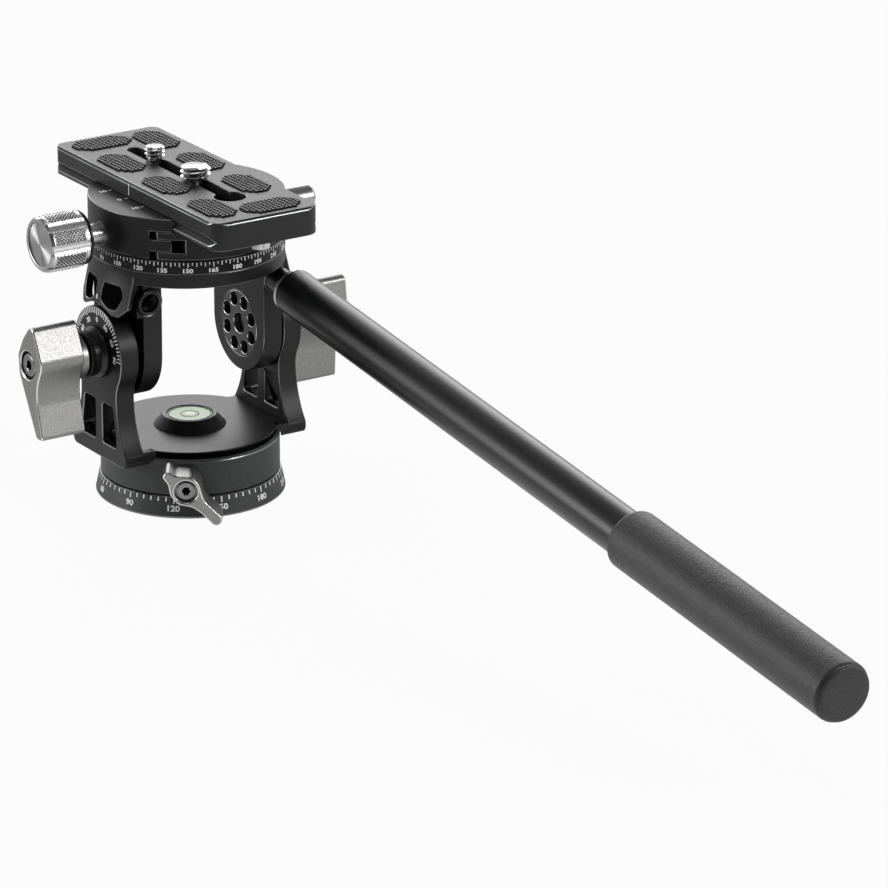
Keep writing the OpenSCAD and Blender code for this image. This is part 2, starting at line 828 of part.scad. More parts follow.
module wing_outline() {
    polygon(rounded(wing_points, wing_radii));
    circle(d = wing_hub_d);
}

module pan_lock_wing() {
    color(titanium) on_lock_axis() difference() {
        union() {
            translate([0, 0, wing_face_r - wing_t]) linear_extrude(wing_t) wing_outline();
            rod_z(wing_hub_d / 2, wing_back_r, wing_face_r);
        }
        rod_z(wing_recess_d / 2, wing_face_r - wing_recess_depth, wing_face_r + over);
        rod_z(lock_stud_r + seat_fit, wing_back_r - over, lock_stud_end_r);
        rod_z(wing_cap_thread_d / 2 + seat_fit, lock_stud_end_r - over, wing_face_r);
    }
}

module pan_lock_stud() {
    color(steel) on_lock_axis() difference() {
        rod_z(lock_stud_r, shoe_end_r, lock_stud_end_r);
        rod_z(wing_cap_thread_d / 2 + seat_fit, wing_face_r - wing_recess_depth - wing_cap_thread_l,
            wing_face_r);
    }
}

module pan_lock_cap_screw() {
    color(bright) on_lock_axis() translate([0, 0, wing_face_r - wing_recess_depth])
        cap_screw(wing_cap_head_d, wing_cap_head_h, wing_cap_thread_d, wing_cap_thread_l);
}

// Yoke

// The arm's outline above the foot: a round head on a waist
module arm_outline() {
    difference() {
        translate([-foot_y, foot_z + foot_nose_r]) square([foot_w, waist_z - foot_z - foot_nose_r]);
        for (s = [-1, 1]) translate([s * flank_y, waist_z]) circle(r = flank_r);
    }
    difference() {
        translate([-neck_top_y, waist_z]) square([2 * neck_top_y, neck_top_z - waist_z]);
        for (s = [-1, 1]) translate([s * neck_y, waist_z]) circle(r = neck_r);
    }
    translate([0, tilt_z]) circle(r = head_r);
}

// A slot between the middle rib and the hollow flank
module slot_outline(low) {
    in_y = slot_rib / 2;
    out_top = waist_w / 2 - slot_side_margin;
    out_low = out_top + slot_spread;
    for (s = [-1, 1]) polygon(rounded(
        [[s * in_y, low], [s * out_low, low], [s * out_top, deck_top + slot_top],
            [s * in_y, deck_top + slot_top]],
        same(slot_corner, 4)));
}

module arm() {
    difference() {
        extrude_x(arm_x, yoke_x) arm_outline();
        extrude_x(arm_x - over, yoke_x + over) slot_outline(deck_top + slot_sill);
        extrude_x(yoke_x - slot_depth, yoke_x + over) slot_outline(deck_top + slot_bottom);
        on_tilt_axis() rod_x(tilt_stud_r + run_fit, arm_x - over, yoke_x + over);
    }
}

module yoke() {
    color(black_satin) difference() {
        union() {
            rod_z(deck_d / 2, deck_z, deck_top);
            tube_z(spigot_out_r, spigot_in_r, deck_z - spigot_h, deck_top);
            difference() {
                extrude_x(-yoke_x, yoke_x) {
                    translate([-foot_y + foot_nose_r, foot_z]) square([foot_w - foot_h, foot_h]);
                    for (s = [-1, 1]) translate([s * (foot_y - foot_nose_r), foot_z + foot_nose_r])
                        circle(r = foot_nose_r);
                }
                rod_z(housing_r + housing_clear, foot_z - over, deck_z);
                both_sides() extrude_x(yoke_x - slot_depth, yoke_x + over)
                    slot_outline(deck_top + slot_bottom);
            }
            both_sides() arm();
        }
        yoke_screw_places() rod_z(yoke_screw_d / 2 + seat_fit, deck_z - spigot_h - over, yoke_screw_top);
    }
}

// Tilt lock

module tilt_bush(right) {
    l = bush_len(right);
    color(black_gloss) on_side(right) on_tilt_axis() rotate([0, 90, 0]) rotate_extrude() polygon([
        [tilt_stud_r + run_fit, yoke_x],
        [bush_r, yoke_x],
        [bush_r, yoke_x + l * bush_steps[0]],
        [bush_r - bush_groove, yoke_x + l * bush_steps[1]],
        [bush_r - bush_groove, yoke_x + l * bush_steps[2]],
        [bush_r - bush_lip, bush_x(right)],
        [tilt_stud_r + run_fit, bush_x(right)]]);
}

module tilt_washer(right) {
    color(slip_white) on_side(right) on_tilt_axis()
        tube_x(tilt_washer_d / 2, tilt_stud_r + run_fit, bridge_x + face_gap, arm_x);
}

module on_knob_axis(right) {
    on_side(right) on_tilt_axis() rotate([right ? right_knob_turn : 0, 0, 0]) children();
}

module tilt_knob(right) {
    face = knob_face_x(right);
    color(titanium) on_knob_axis(right) difference() {
        union() {
            extrude_x(lever_x(right), face) polygon(rounded(lever_points, lever_radii));
            rod_x(knob_hub_d / 2, knob_x(right), lever_x(right) + knob_hub_l);
        }
        rod_x(knob_recess_d / 2, knob_recess_x(right), face + over);
        rod_x(tilt_stud_r + seat_fit, knob_x(right) - over, tilt_stud_end_x(right));
        rod_x(tilt_cap_thread_d / 2 + seat_fit, tilt_stud_end_x(right) - over, face);
    }
}

module tilt_stud(right) {
    color(steel) on_side(right) on_tilt_axis() difference() {
        rod_x(tilt_stud_r, tilt_stud_in_x, tilt_stud_end_x(right));
        rod_x(tilt_cap_thread_d / 2 + seat_fit, knob_recess_x(right) - tilt_cap_thread_l,
            knob_face_x(right));
    }
}

module tilt_cap_screw(right) {
    color(steel) on_knob_axis(right) translate([knob_recess_x(right), 0, 0]) rotate([0, 90, 0])
        cap_screw(tilt_cap_head_d, tilt_cap_head_h, tilt_cap_thread_d, tilt_cap_thread_l);
}

// Bridge

module bridge_arm_outline() {
    translate([-bridge_arm_r, tilt_z]) square([bridge_arm_w, bridge_under - tilt_z]);
    translate([0, tilt_z]) circle(r = bridge_arm_r);
}

module window_outline() {
    polygon(rounded(window_points, same(window_round, len(window_points))));
}

// A skirt seen from the side, hollowed by an arc about the tilt axis
module skirt_outline() {
    difference() {
        polygon([
            [-skirt_half, bridge_rise],
            [-skirt_half, skirt_low + skirt_corner],
            [-skirt_half + skirt_corner, skirt_low],
            [skirt_half - skirt_corner, skirt_low],
            [skirt_half, skirt_low + skirt_corner],
            [skirt_half, bridge_rise]]);
        circle(r = skirt_arc_r);
        window_outline();
        mirror([1, 0]) window_outline();
    }
}

module skirts() {
    slope = skirt_flare / (bridge_rise - skirt_low);
    low_z = tilt_z + skirt_low - over;
    low_r = bridge_r + skirt_flare + slope * over;
    intersection() {
        rotate_extrude() polygon([
            [bridge_r - skirt_t, bridge_top - bridge_top_t / 2],
            [bridge_r, bridge_top - bridge_top_t / 2],
            [low_r, low_z],
            [low_r - skirt_t, low_z]]);
        both_sides() on_tilt_axis() extrude_x(bridge_x, bridge_r + skirt_flare + over) skirt_outline();
    }
}

// The boss round the handle socket and the web that carries it down the arm's front
module socket_boss(fit) {
    boss_r = socket_boss_r + fit;
    on_socket_axis() rod_z(boss_r, -socket_boss_l - fit, fit);
    on_tilt_axis() block(
        [handle_x - boss_r, -bridge_arm_r - fit, skirt_low - fit],
        [handle_x + boss_r, -bridge_arm_r + socket_web_t + fit, socket_rise]);
}

module bridge_arm(right) {
    color(black_satin) on_side(right) difference() {
        union() {
            extrude_x(bridge_in_x, bridge_x) bridge_arm_outline();
            socket_boss(0);
        }
        on_tilt_axis() {
            rod_x(disc_d / 2 + seat_fit, bridge_in_x - over, disc_pocket_x);
            rod_x(tilt_stud_r + run_fit, bridge_in_x, bridge_x + over);
        }
        on_socket_axis() rod_z(socket_insert_d / 2 + seat_fit, -socket_l, over);
    }
}

module bridge() {
    color(black_satin) difference() {
        union() {
            rod_z(bridge_r, bridge_under, bridge_top);
            skirts();
        }
        both_sides() socket_boss(seat_fit);
        rod_z(top_screw_d / 2 + seat_fit, bridge_under - over, bridge_top + over);
        rod_z(top_screw_head_d / 2 + seat_fit, bridge_under - over, bridge_under + top_screw_head_h);
    }
}

module tilt_disc(right) {
    color(steel) on_side(right) on_tilt_axis() difference() {
        rod_x(disc_d / 2, disc_x, disc_pocket_x);
        rod_x(disc_centre_d / 2, disc_x - over, disc_pocket_x + over);
        for (i = [0 : disc_holes - 1]) rotate([(i + 0.5) * 360 / disc_holes, 0, 0])
            translate([0, 0, disc_pitch_d / 2])
                rod_x(disc_hole_d / 2, disc_x - over, disc_pocket_x + over);
    }
}

module handle_socket(right) {
    color(black_gloss) on_side(right) on_socket_axis()
        tube_z(socket_insert_d / 2, socket_thread_d / 2, -socket_l, 0);
}

// Upper pan bearing

module upper_scale_ring() {
    color(black_satin) difference() {
        rod_z(scale_r, bridge_top, scale_top);
        rod_z(top_spindle_r + seat_fit, bridge_top - over, scale_top + over);
        rod_z(top_flange_r + seat_fit, bridge_top - over, bridge_top + top_flange_t);
    }
}

module top_spindle() {
    color(steel) difference() {
        union() {
            rod_z(top_flange_r, bridge_top, bridge_top + top_flange_t);
            rod_z(top_spindle_r, bridge_top, top_spindle_top);
        }
        rod_z(top_screw_d / 2 + seat_fit, bridge_top - over, top_spindle_top + over);
    }
}

module top_spindle_screw() {
    seat_z = bridge_under + top_screw_head_h;
    color(steel) translate([0, 0, seat_z]) mirror([0, 0, 1])
        cap_screw(top_screw_head_d, top_screw_head_h, top_screw_d, scale_top - seat_z);
}

module top_retainer() {
    color(steel) tube_z(top_retainer_r, top_screw_d / 2 + seat_fit, top_spindle_top,
        top_spindle_top + top_retainer_t);
}

module top_retainer_screw() {
    seat_z = top_spindle_top + top_retainer_t;
    color(steel) translate([0, 0, seat_z])
        cap_screw(top_screw_head_d, (floor_z - seat_z) * top_head_share, top_screw_d,
            seat_z - scale_top - over);
}

module top_thrust_washer() {
    color(slip_white) tube_z(clamp_r - top_washer_edge, top_flange_r, scale_top, scale_top + top_washer_t);
}

// Clamp

// The dovetail nose of a jaw, at the right side of the channel
module nose_outline() {
    reach = groove_d - plate_clear / 2;
    polygon([
        [jaw_face, groove_z - reach],
        [jaw_face - reach, groove_z],
        [jaw_face, groove_z + reach]]);
}

module right_jaw() {
    intersection() {
        rod_z(clamp_r, clamp_z, jaw_top);
        extrude_y(-clamp_r, clamp_r) {
            translate([jaw_face, floor_z - over]) square([clamp_r, jaw_h + over]);
            nose_outline();
        }
    }
}

module guide_pin_places() {
    for (s = [-1, 1]) translate([0, s * guide_pin_y, clamp_screw_z]) children();
}

module clamp_body() {
    color(black_satin) difference() {
        union() {
            intersection() {
                rod_z(clamp_r, clamp_z, floor_z);
                block([split_x, -clamp_r, clamp_z], [clamp_r, clamp_r, floor_z]);
            }
            right_jaw();
        }
        block([split_x - over, -clamp_r, tongue_z - tongue_gap],
            [tongue_slot_x, clamp_r, tongue_z + tongue_h + tongue_gap]);
        rod_z(top_spindle_r + run_fit, clamp_z - over, floor_z + over);
        rod_z(top_pocket_r, top_pocket_z, floor_z + over);
        translate([0, 0, clamp_screw_z])
            rod_x(clamp_screw_r + run_fit, split_x - over, clamp_bore_end_x);
        guide_pin_places() rod_x(guide_pin_r + seat_fit, tongue_slot_x - over, guide_pin_in_x);
        translate([0, 0, upper_lock_z]) rod_x(upper_stud_r + run_fit, 0, clamp_r + over);
    }
}

module clamp_guide_pins() {
    color(steel) guide_pin_places() rod_x(guide_pin_r, jaw_x - guide_pin_reach, guide_pin_in_x);
}

module clamp_jaw() {
    pin_bore_x = jaw_x - guide_pin_reach - face_gap;
    color(black_satin) difference() {
        union() {
            intersection() {
                rod_z(clamp_r, clamp_z, jaw_top);
                block([-clamp_r, -clamp_r, clamp_z], [jaw_x, clamp_r, jaw_top]);
            }
            intersection() {
                rod_z(clamp_r, clamp_z, jaw_top);
                union() {
                    block([jaw_x - over, -clamp_r, floor_z + plate_clear], [-jaw_face, clamp_r, jaw_top]);
                    block([jaw_x - over, -clamp_r, tongue_z], [tongue_end_x, clamp_r, tongue_z + tongue_h]);
                    mirror([1, 0, 0]) extrude_y(-clamp_r, clamp_r) nose_outline();
                }
            }
        }
        translate([0, 0, clamp_screw_z]) {
            rod_x(knob_shaft_r + run_fit, -clamp_r - over, shaft_in_x);
            rod_x(clamp_screw_r + run_fit, -clamp_r, tongue_end_x + over);
        }
        guide_pin_places() rod_x(guide_pin_r + run_fit, pin_bore_x, tongue_end_x + over);
    }
}

module clamp_screw() {
    color(bright) translate([0, 0, clamp_screw_z]) {
        rod_x(knob_shaft_r, -clamp_knob_back_x, shaft_in_x - face_gap);
        rod_x(clamp_screw_r, -clamp_knob_x + clamp_knob_l / 2, clamp_screw_end_x);
    }
}

module clamp_knob_ring() {
    color(black_gloss) translate([0, 0, clamp_screw_z])
        tube_x(knob_ring_r, knob_shaft_r + seat_fit, -clamp_knob_back_x, -clamp_knob_back_x + knob_ring_t);
}

module clamp_knob() {
    color(bright) translate([0, 0, clamp_screw_z]) difference() {
        rotate([0, -90, 0]) rotate_extrude() polygon([
            [0, clamp_knob_back_x],
            [clamp_knob_r - knob_rim, clamp_knob_back_x],
            [clamp_knob_r, clamp_knob_back_x + knob_rim],
            [clamp_knob_r, clamp_knob_x - knob_rim],
            [clamp_knob_r - knob_rim, clamp_knob_x],
            [knob_dish_r, clamp_knob_x],
            [knob_dish_r - knob_dish, clamp_knob_x - knob_dish],
            [0, clamp_knob_x - knob_dish]]);
        for (i = [0 : clamp_knob_flutes - 1]) rotate([flute_turn + i * 360 / clamp_knob_flutes, 0, 0])
            translate([0, 0, clamp_knob_r + flute_r - flute_depth])
                rod_x(flute_r, -clamp_knob_x - over, -clamp_knob_back_x + over);
        rod_x(clamp_screw_r + seat_fit, -clamp_knob_x + clamp_knob_l / 2, 0);
    }
}

// Upper pan lock

module upper_brake_shoe() {
    color(brass) difference() {
        translate([0, 0, upper_lock_z]) rod_x(upper_stud_r, 0, upper_shoe_end_x - upper_shoe_gap);
        rod_z(top_spindle_r + upper_shoe_gap, clamp_z, floor_z);
    }
}

module upper_lock_stud() {
    color(steel) translate([0, 0, upper_lock_z])
        rod_x(upper_stud_r, upper_shoe_end_x, upper_knob_in_x + upper_neck_l);
}

module upper_lock_knob() {
    color(bright) translate([0, 0, upper_lock_z]) difference() {
        rotate([0, 90, 0]) rotate_extrude() polygon([
            [0, upper_knob_in_x],
            [upper_neck_r, upper_knob_in_x],
            [upper_knob_r, upper_knob_in_x + upper_neck_l],
            [upper_knob_r, upper_knob_x - knob_rim],
            [upper_knob_r - knob_rim, upper_knob_x],
            [0, upper_knob_x]]);
        rod_x(upper_stud_r + seat_fit, upper_knob_in_x - over, upper_knob_in_x + upper_neck_l);
    }
}

// Plate and camera screws

module plate_profile() {
    polygon([
        [-plate_half + lip_chamfer, plate_z], [plate_half - lip_chamfer, plate_z],
        [plate_half, plate_z + lip_chamfer], [plate_half, plate_z + lip_h],
        [plate_half - groove_d, groove_z], [plate_half, slab_z],
        [plate_half, plate_top - plate_chamfer], [plate_half - plate_chamfer, plate_top],
        [-plate_half + plate_chamfer, plate_top], [-plate_half, plate_top - plate_chamfer],
        [-plate_half, slab_z], [-plate_half + groove_d, groove_z],
        [-plate_half, plate_z + lip_h], [-plate_half, plate_z + lip_chamfer]]);
}

module plate_plan() {
    translate([-plate_half, plate_front + plate_corner]) square([plate_w, plate_l - 2 * plate_corner]);
    translate([-plate_half + plate_corner, plate_front]) square([plate_w - 2 * plate_corner, plate_l]);
    for (x = [-plate_half + plate_corner, plate_half - plate_corner])
        for (y = [plate_front + plate_corner, plate_back - plate_corner])
            translate([x, y]) circle(r = plate_corner);
}

// The plate's side view, with its upper end edges chamfered
module plate_side() {
    polygon([
        [plate_front, plate_z - over], [plate_back, plate_z - over],
        [plate_back, plate_top - plate_chamfer], [plate_back - plate_chamfer, plate_top],
        [plate_front + plate_chamfer, plate_top], [plate_front, plate_top - plate_chamfer]]);
}

module slot_plan(w, y0, y1) {
    translate([-w / 2, y0]) square([w, y1 - y0]);
    for (y = [y0, y1]) translate([0, y]) circle(d = w);
}

module stop_screw_places() {
    for (y = [plate_front + stop_inset, plate_back - stop_inset]) translate([0, y, 0]) children();
}

module quick_plate() {
    color(black_satin) difference() {
        intersection() {
            extrude_y(plate_front, plate_back) plate_profile();
            translate([0, 0, plate_z]) linear_extrude(plate_t) plate_plan();
            extrude_x(-plate_half, plate_half) plate_side();
        }
        translate([0, 0, plate_z]) linear_extrude(plate_t + over) {
            slot_plan(slot_w, keyhole_at, slot_end);
            translate([0, keyhole_at]) circle(d = keyhole_d);
        }
        translate([0, 0, plate_z - over]) linear_extrude(channel_h + over)
            slot_plan(channel_w, keyhole_at, slot_end);
        stop_screw_places() rod_z(stop_thread_d / 2 + seat_fit, plate_z - over, plate_z + stop_thread_l);
    }
}

// A pad's outline: a bar with its corners cut away and rounded
module pad_plan(l, w) {
    cut_l = l * pad_cut_l;
    cut_w = w * pad_cut_w;
    polygon(rounded(
        [[-w / 2, -l / 2 + cut_l], [-w / 2 + cut_w, -l / 2], [w / 2 - cut_w, -l / 2],
            [w / 2, -l / 2 + cut_l], [w / 2, l / 2 - cut_l], [w / 2 - cut_w, l / 2],
            [-w / 2 + cut_w, l / 2], [-w / 2, l / 2 - cut_l]],
        same(pad_round, 8)));
}

module pad(x, y, turned) {
    translate([x, y, plate_top]) rotate([0, 0, turned ? 90 : 0]) linear_extrude(pad_h)
        pad_plan(turned ? end_pad_l : pad_l, pad_w);
}

module plate_pads() {
    color(rubber_black) {
        for (i = [0 : pads_a_side - 1]) {
            pad(-pad_x, plate_y + left_pad_y - i * pad_pitch, false);
            pad(pad_x, plate_y + right_pad_y - i * pad_pitch, false);
        }
        pad(-pad_x + pad_w / 2, plate_back - end_pad_inset, true);
        pad(pad_x - pad_w / 2, plate_front + end_pad_inset, true);
    }
}

module plate_stop_screws() {
    color(bright) stop_screw_places() {
        rod_z(stop_d / 2, plate_z - stop_drop, plate_z);
        rod_z(stop_thread_d / 2, plate_z - stop_drop / 2, plate_z + stop_thread_l);
    }
}

module screw_clip(y) {
    color(steel) translate([0, y, 0]) difference() {
        block([-clip_w / 2, -clip_l / 2, clip_z], [clip_w / 2, clip_l / 2, clip_z + clip_t]);
        rod_z(screw_neck_d / 2 + run_fit, clip_z - over, clip_z + clip_t + over);
    }
}

module camera_screw(y, d) {
    color(bright) translate([0, y, 0]) difference() {
        union() {
            rod_z(screw_head_d / 2, screw_head_z, screw_head_z + screw_head_t);
            rod_z(screw_neck_d / 2, screw_head_z, thread_z);
            rod_z(d / 2, thread_z, screw_top);
        }
        block([-screw_head_d, -head_slot_w / 2, screw_head_z - over],
            [screw_head_d, head_slot_w / 2, screw_head_z + head_slot_depth]);
    }
}

// Handle

module handle_stud() {
    color(steel) on_socket_axis()
        rod_z(socket_thread_d / 2 - run_fit, -socket_l + face_gap, neck_l + collar_l + stud_in_tube);
}

module handle_neck() {
    color(black_gloss) on_socket_axis() tube_z(neck_d / 2, socket_thread_d / 2, face_gap, neck_l);
}

module handle_collar() {
    color(bright) on_socket_axis() difference() {
        rotate_extrude() polygon([
            [0, collar_start],
            [neck_d / 2 + collar_lip, collar_start],
            [tube_r, collar_start + collar_l * collar_taper],
            [tube_r, tube_start],
            [0, tube_start]]);
        rod_z(socket_thread_d / 2, collar_start - over, tube_start + over);
    }
}

module handle_tube() {
    color(black_gloss) on_socket_axis() difference() {
        rod_z(tube_r, tube_start, tube_end);
        rod_z(socket_thread_d / 2, tube_start - over, tube_start + stud_in_tube + over);
        rod_z(tube_r - tube_wall, tube_start + stud_in_tube, tube_end + over);
    }
}

module grip_profile() {
    difference() {
        translate([tube_r + seat_fit, grip_start]) square([grip_r - tube_r - seat_fit, grip_l]);
        for (end = [grip_start + grip_round, grip_end - grip_round]) difference() {
            translate([grip_r - grip_round, end == grip_end - grip_round ? end : grip_start - over])
                square([grip_round + over, grip_round + over]);
            translate([grip_r - grip_round, end]) circle(r = grip_round);
        }
    }
}

module handle_grip() {
    color(foam_grey) on_socket_axis() rotate_extrude() grip_profile();
}

module handle_end_cap() {
    color(black_gloss) on_socket_axis() {
        rod_z(cap_r, tube_end, grip_end);
        rod_z(cap_plug_r, tube_end - cap_plug_l, tube_end + over / 2);
    }
}

base_ring();
tripod_insert();
pan_spindle();
pan_thrust_washer();
pan_retainer();
pan_retainer_screw();
pan_housing();
yoke();
yoke_screws();
pan_brake_shoe();
level_bezel();
level_vial();
pan_lock_wing();
pan_lock_stud();
pan_lock_cap_screw();
tilt_bush(false);  // tilt_bush_left
tilt_bush(true);  // tilt_bush_right
tilt_washer(false);  // tilt_washer_left
tilt_washer(true);  // tilt_washer_right
tilt_knob(false);  // tilt_knob_left
tilt_knob(true);  // tilt_knob_right
tilt_stud(false);  // tilt_stud_left
tilt_stud(true);  // tilt_stud_right
tilt_cap_screw(false);  // tilt_cap_screw_left
tilt_cap_screw(true);  // tilt_cap_screw_right
bridge();
bridge_arm(false);  // bridge_arm_left
bridge_arm(true);  // bridge_arm_right
upper_scale_ring();
tilt_disc(false);  // tilt_disc_left
tilt_disc(true);  // tilt_disc_right
handle_socket(false);  // handle_socket_left
handle_socket(true);  // handle_socket_right
top_spindle();
top_spindle_screw();
top_retainer();
top_retainer_screw();
top_thrust_washer();
clamp_body();
clamp_guide_pins();
clamp_jaw();
clamp_screw();
clamp_knob_ring();
clamp_knob();
upper_brake_shoe();
upper_lock_stud();
upper_lock_knob();
quick_plate();
plate_pads();
plate_stop_screws();
screw_clip(small_screw_y);  // small_screw_clip
camera_screw(small_screw_y, small_screw_d);  // camera_screw_small
screw_clip(-large_screw_y);  // large_screw_clip
camera_screw(-large_screw_y, large_screw_d);  // camera_screw_large
handle_stud();
handle_neck();
handle_collar();
handle_tube();
handle_grip();
handle_end_cap();
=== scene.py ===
# The looks of a two-way pan tilt head: its CAD nodes with machined edges and finishes, and with
# threads, knurl, pads, level, foam and scales, in a white studio

import json
import math

import bmesh
import bpy
import numpy as np
from mathutils import Matrix, Vector
from mathutils.bvhtree import BVHTree

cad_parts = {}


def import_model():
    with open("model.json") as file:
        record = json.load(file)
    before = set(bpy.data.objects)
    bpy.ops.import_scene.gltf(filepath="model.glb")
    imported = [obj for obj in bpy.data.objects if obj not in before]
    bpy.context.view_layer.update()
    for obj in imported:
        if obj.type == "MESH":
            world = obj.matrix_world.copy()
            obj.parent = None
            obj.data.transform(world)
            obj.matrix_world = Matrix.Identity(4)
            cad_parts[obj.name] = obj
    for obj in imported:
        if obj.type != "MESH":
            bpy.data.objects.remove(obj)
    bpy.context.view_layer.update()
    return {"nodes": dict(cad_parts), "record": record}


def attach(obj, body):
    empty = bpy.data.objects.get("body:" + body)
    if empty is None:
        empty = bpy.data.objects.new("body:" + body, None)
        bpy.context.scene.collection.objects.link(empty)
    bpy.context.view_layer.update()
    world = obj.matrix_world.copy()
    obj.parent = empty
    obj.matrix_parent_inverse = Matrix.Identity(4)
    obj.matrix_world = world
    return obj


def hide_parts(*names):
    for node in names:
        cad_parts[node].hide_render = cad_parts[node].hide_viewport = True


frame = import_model()

NODES = frame["nodes"]
RECORD = frame["record"]
BODY_OF = {n: b for b, members in RECORD["behaviour"]["bodies"].items() for n in members}
SLOT_OF = {s["node"]: s["material_slot"] for s in RECORD["subparts"]}


# Places in the part's frame, in mm. Only the meshes, the stage and the materials are in metres

MM = 0.001
Z_AXIS = dict(axis=(0, 0, 1), up=(1, 0, 0))
TILT_Z = 51.0
PLATE_TOP = 102.7
LOCK_Z, LOCK_ANGLE = 12.9, math.radians(32.5)
LOCK_DIR = (-math.sin(LOCK_ANGLE), -math.cos(LOCK_ANGLE), 0)
SOCKET_X, SOCKET_Y, SOCKET_Z = 22.8, -15.8, 69.2
SLOPE = math.radians(7.1)
HANDLE_DIR = (0, -math.cos(SLOPE), -math.sin(SLOPE))
HANDLE_UP = (0, -math.sin(SLOPE), math.cos(SLOPE))
HANDLE_AXIS = dict(origin=(SOCKET_X, SOCKET_Y, SOCKET_Z), axis=HANDLE_DIR, up=HANDLE_UP)
QUARTER_INCH = dict(r=3.175, pitch=1.27)
THREE_EIGHTHS = dict(r=4.7625, pitch=1.5875)


# Materials: every one is built from noise in the part's own coordinates, in metres

GRAIN_DEPTH = 0.05


def shader(name):
    """A material with one Principled shader: the material, its tree and the shader."""
    mat = bpy.data.materials.new(name)
    mat.use_nodes = True
    tree = mat.node_tree
    tree.nodes.clear()
    out = tree.nodes.new("ShaderNodeOutputMaterial")
    bsdf = tree.nodes.new("ShaderNodeBsdfPrincipled")
    tree.links.new(bsdf.outputs["BSDF"], out.inputs["Surface"])
    return mat, tree, bsdf


def own_place(tree, stretch=(1, 1, 1)):
    """The point in the part's own coordinates, stretched along the axes."""
    place = tree.nodes.new("ShaderNodeTexCoord")
    mapping = tree.nodes.new("ShaderNodeMapping")
    mapping.inputs["Scale"].default_value = stretch
    tree.links.new(place.outputs["Object"], mapping.inputs["Vector"])
    return mapping.outputs["Vector"]


def noise(tree, scale, detail=2.0, roughness=0.5):
    texture = tree.nodes.new("ShaderNodeTexNoise")
    texture.inputs["Scale"].default_value = scale
    texture.inputs["Detail"].default_value = detail
    texture.inputs["Roughness"].default_value = roughness
    tree.links.new(own_place(tree), texture.inputs["Vector"])
    return texture.outputs["Fac"]


def ramp(tree, value, stops):
    """A colour ramp of stops [(position, colour), ...]."""
    node = tree.nodes.new("ShaderNodeValToRGB")
    elements = node.color_ramp.elements
    while len(elements) < len(stops):
        elements.new(0.5)
    for element, (at, colour) in zip(elements, stops):
        element.position = at
        element.color = (*colour, 1.0)
    tree.links.new(value, node.inputs["Fac"])
    return node.outputs["Color"]


def spread(tree, value, low, high, start=0.3, end=0.7):
    """Maps start..end to low..high, and keeps within them."""
    node = tree.nodes.new("ShaderNodeMapRange")
    node.inputs["From Min"].default_value = start
    node.inputs["From Max"].default_value = end
    node.inputs["To Min"].default_value = low
    node.inputs["To Max"].default_value = high
    tree.links.new(value, node.inputs["Value"])
    return node.outputs["Result"]


def relief(tree, bsdf, height, strength, depth_mm):
    node = tree.nodes.new("ShaderNodeBump")
    node.inputs["Strength"].default_value = strength
    node.inputs["Distance"].default_value = depth_mm * MM
    tree.links.new(height, node.inputs["Height"])
    tree.links.new(node.outputs["Normal"], bsdf.inputs["Normal"])


def grey(value, warm=0.0):
    return (value * (1 + warm), value, value * (1 - warm))


def finish(name, dark, light, rough, metallic=0.0, cloud=70.0, grain=5000.0, bump=0.0, ior=None):
    """Clouds of two colours with a fine grain in the roughness and, with bump, in the surface."""
    mat, tree, bsdf = shader(name)
    clouds = ramp(tree, noise(tree, cloud, detail=5.0), [(0.33, dark), (0.67, light)])
    tree.links.new(clouds, bsdf.inputs["Base Color"])
    fine = noise(tree, grain, roughness=0.6)
    tree.links.new(spread(tree, fine, *rough), bsdf.inputs["Roughness"])
    if bump:
        relief(tree, bsdf, fine, bump, GRAIN_DEPTH)
    bsdf.inputs["Metallic"].default_value = metallic
    if ior:
        bsdf.inputs["IOR"].default_value = ior
    return mat


def metal(name, dark, light, rough, warm=0.0, **more):
    return finish(name, grey(dark, warm), grey(light, warm), rough, metallic=1.0, **more)


anodised = finish("anodised_black", grey(0.004, -0.03), grey(0.008, -0.03), (0.38, 0.46),
                  bump=0.06, ior=1.38)
plate_black = finish("plate_black", grey(0.008, -0.03), grey(0.014, -0.03), (0.40, 0.48),
                     bump=0.06, ior=1.42)
anodised_edge = metal("anodised_edge", 0.16, 0.28, (0.26, 0.36), warm=-0.02)
blasted = finish("blasted_black", grey(0.032, -0.03), grey(0.050, -0.03), (0.44, 0.54),
                 cloud=1800.0, grain=3000.0, bump=0.14, ior=1.42)
# Near-black painted shade for hollows, holes and faces that lie in shadow
painted_shade = finish("painted_shade_black", grey(0.001), grey(0.002), (0.60, 0.75), ior=1.06)
gloss = finish("black_gloss", grey(0.003, -0.03), grey(0.006, -0.03), (0.27, 0.34),
               bump=0.02, ior=1.45)
gloss_edge = finish("black_gloss_edge", grey(0.014), grey(0.030), (0.22, 0.32), metallic=0.5)
plastic = finish("black_plastic", grey(0.005), grey(0.009), (0.30, 0.40), bump=0.06, ior=1.27)
titanium = metal("titanium_grey", 0.22, 0.33, (0.32, 0.48), warm=0.01,
                 cloud=2600.0, grain=3600.0, bump=0.30)
titanium_edge = metal("titanium_polished", 0.62, 0.72, (0.16, 0.24), warm=0.01)
bright = metal("bright_metal", 0.50, 0.58, (0.16, 0.26), grain=3500.0, bump=0.03)
disc_metal = finish("disc_metal", grey(0.045), grey(0.065), (0.30, 0.38), metallic=0.35, bump=0.04)
chrome = metal("chrome_screw", 0.52, 0.62, (0.17, 0.25))
knurl = metal("knurl_crest", 0.72, 0.82, (0.24, 0.34), grain=3500.0)
# Dark metal as painted shade in thread roots, knurl grooves and the open socket's thread
painted_shade_metal = metal("knurl_painted_shade", 0.07, 0.13, (0.30, 0.42))
satin = metal("satin_metal", 0.36, 0.44, (0.26, 0.36), grain=3500.0, bump=0.04)
steel = metal("plain_steel", 0.50, 0.60, (0.24, 0.36), bump=0.04)
screw_steel = metal("screw_steel", 0.20, 0.28, (0.26, 0.38), bump=0.05)
screw_edge = metal("screw_edge", 0.42, 0.52, (0.20, 0.30))
